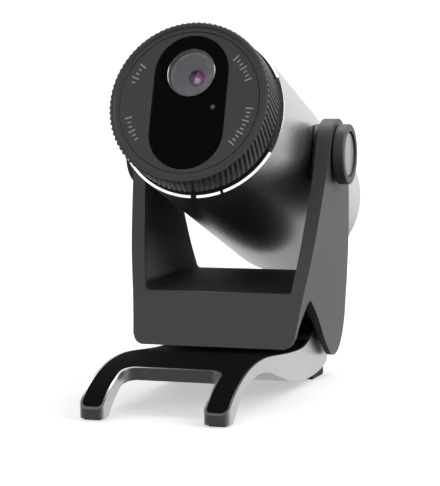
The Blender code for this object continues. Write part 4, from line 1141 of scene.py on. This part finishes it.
def make_socket():
    half_x, half_z = SOCKET_HALF
    socket = prism_y("socket_shell", slot_outline(half_x, half_z),
                     SOCKET_LOW.y, SOCKET_HIGH.y)
    mouth = slot_outline(half_x - SOCKET_WALL, half_z - SOCKET_WALL)
    cut(socket, prism_y("mouth", mouth, SOCKET_FLOOR_Y, 60.0))
    tidy(socket, angle=0.05)
    round_edges(socket, 0.06, 2, 50.0)
    put(socket, HEAD, "head", "steel", "usb_socket", sharp=30.0)

    low, high = TONGUE_LOW, TONGUE_HIGH
    tongue = prism_y("socket_tongue", rectangle(low.x, high.x, low.z, high.z),
                     low.y, high.y)
    round_edges(tongue, 0.08, 2, 50.0)
    put(tongue, HEAD, "head", "chip_black", "usb_tongue")
    for face, height in (("upper", high.z), ("lower", low.z)):
        for k in range(CONTACTS):
            x = CONTACT_PITCH * (k - (CONTACTS - 1) / 2.0)
            outline = rectangle(x - 0.13, x + 0.13, height - 0.02,
                                height + 0.02)
            strip = prism_y(f"contact_{face}_{k}", outline, low.y + 1.0,
                            high.y - 0.5)
            put(strip, HEAD, "head", "chip_black", paint="brass")


def make_screws():
    shank, head = SCREW_RADII
    top = SCREW_HIGH.y
    for name, x in (("left", -SCREW_X), ("right", SCREW_X)):
        screw = spin("screw_" + name, [
            (0, SCREW_LOW.y), (shank, SCREW_LOW.y), (shank, SCREW_UNDER_Y),
            (head, SCREW_UNDER_Y), (head, top - 0.22),
            (head - 0.07, top - 0.08), (head - 0.24, top), (0, top)], "Y",
            64, (x, 0.0))
        for wide, tall in ((1.0, 0.2), (0.2, 1.0)):
            slot = rectangle(x - wide, x + wide, -tall, tall)
            cut(screw, prism_y("drive", slot, top - 0.4, top + 1.0))
        tidy(screw, angle=0.05)
        put(screw, HEAD, "head", "steel", "rear_screw_" + name, sharp=30.0)


def make_soles():
    for name, sign in SIDES:
        sole = prism_z("sole_" + name, sole_outline(sign, 0.0), GROUND,
                       SOLE_TOP)
        round_edges(sole, 0.12, 2, 50.0)
        put(sole, STAND, "foot", "rubber_black", "tip_sole_" + name)

    y0, y1 = HEEL_LOW.y, HEEL_HIGH.y
    under = list(reversed(FOOT_BOTTOM))
    outline = [(y0, GROUND), (y1 - HEEL_CHAMFER, GROUND),
               (y1, GROUND + HEEL_CHAMFER)]
    outline += [(y, value_at(under, y) - HEEL_AIR)
                for y in reversed(evenly(y0, y1, 24))]
    heel = prism_x("heel_cushion", outline, HEEL_LOW.x, HEEL_HIGH.x)
    round_edges(heel, 0.25, 3, 50.0)
    put(heel, STAND, "foot", "rubber_black", "heel_pad", sharp=30.0)


# ============ CAD nodes
def paint_cad_nodes():
    """Give every CAD node that still shows its slot's procedural finish."""
    slots = {part["node"]: part["material_slot"]
             for part in frame["record"]["subparts"]}
    for name, obj in frame["nodes"].items():
        if obj.hide_render:
            continue
        obj.data.materials.clear()
        obj.data.materials.append(finish(slots[name]))


# ============ studio
def aim(obj, target):
    obj.rotation_mode = "QUATERNION"
    way = Vector(target) - obj.location
    obj.rotation_quaternion = way.to_track_quat("-Z", "Y")


def softbox(name, place, target, wide, tall, power):
    light = bpy.data.lights.new(name, "AREA")
    light.shape = "RECTANGLE"
    light.size = wide
    light.size_y = tall
    light.energy = power
    obj = bpy.data.objects.new(name, light)
    obj.location = place
    bpy.context.scene.collection.objects.link(obj)
    aim(obj, target)
    return obj


def make_floor():
    """Pale round floor that curves up all round; it casts no bounce light."""
    flat, bend, height = 1.6, 0.8, 2.6
    profile = [(0.0, 0.0), (flat, 0.0)]
    profile += arc((flat, bend), bend, -84.0, 0.0, 14)
    profile += [(flat + bend, height), (flat + bend + 0.02, height),
                (flat + bend + 0.02, -0.02), (0.0, -0.02)]
    floor = spin("studio_floor", profile, "Z", 96)
    floor.data.materials.append(surface(
        "floor_white", (0.60, 0.60, 0.60), (0.62, 0.62, 0.62), 0.0,
        (0.70, 0.80), 60.0, 0.02, patch=3.0, specular=0.2, glow=0.45))
    floor.data.shade_smooth()
    floor.data.set_sharp_from_angle(angle=math.radians(30.0))
    floor.visible_diffuse = False
    floor.visible_glossy = False
    floor.visible_transmission = False
    floor.visible_shadow = False


def make_light():
    """Soft surround, brightest behind and dim in front, and softboxes."""
    world = bpy.data.worlds.new("studio")
    world.use_nodes = True
    nodes, links = world.node_tree.nodes, world.node_tree.links
    place = nodes.new("ShaderNodeTexCoord")
    split = nodes.new("ShaderNodeSeparateXYZ")
    links.new(place.outputs["Generated"], split.inputs["Vector"])
    depth = graded(nodes, links, split.outputs["Y"], -0.2, 0.9, 0.07, 1.0)
    lift = graded(nodes, links, split.outputs["Z"], -0.65, -0.05, 0.42, 1.0)
    level = nodes.new("ShaderNodeMath")
    level.operation = "MULTIPLY"
    links.new(depth, level.inputs[0])
    links.new(lift, level.inputs[1])
    back = nodes["Background"]
    back.inputs["Color"].default_value = (1.0, 1.0, 1.0, 1.0)
    links.new(level.outputs["Value"], back.inputs["Strength"])
    bpy.context.scene.world = world
    target = (0.0, 0.0, 0.045)
    softbox("key_right", (0.75, -0.12, 0.42), target, 0.55, 0.70, 3.9)
    softbox("rim_left", (-0.55, -0.25, 0.28), target, 0.12, 0.45, 0.7)
    softbox("backdrop", (0.0, 0.9, 1.7), (0.0, 2.2, 0.4), 2.6, 1.2, 60.0)
    hidden = [softbox("top", (0.10, 0.30, 0.80), target, 0.6, 0.6, 1.6),
              softbox("front", (-0.20, -1.0, 0.42), target, 0.6, 0.6, 4.6)]
    for light in hidden:
        light.visible_glossy = False


def make_camera():
    data = bpy.data.cameras.new("camera")
    data.sensor_fit = "AUTO"
    data.sensor_width = 36.0
    data.lens = 133.4
    data.clip_start = 0.01
    data.clip_end = 20.0
    camera = bpy.data.objects.new("camera", data)
    camera.location = (0.1273, -0.4014, 0.0654)
    camera.rotation_euler = [math.radians(a) for a in (85.67, 0.11, 17.99)]
    bpy.context.scene.collection.objects.link(camera)
    bpy.context.scene.camera = camera
    bpy.context.scene.view_settings.view_transform = "Standard"


make_camera()
make_yoke()
make_liner()
make_foot()
make_barrel()
make_ring()
make_face()
make_lens()
make_pivots()
make_bearings()
make_rear_panel()
make_socket()
make_screws()
make_soles()
paint_cad_nodes()
make_floor()
make_light()
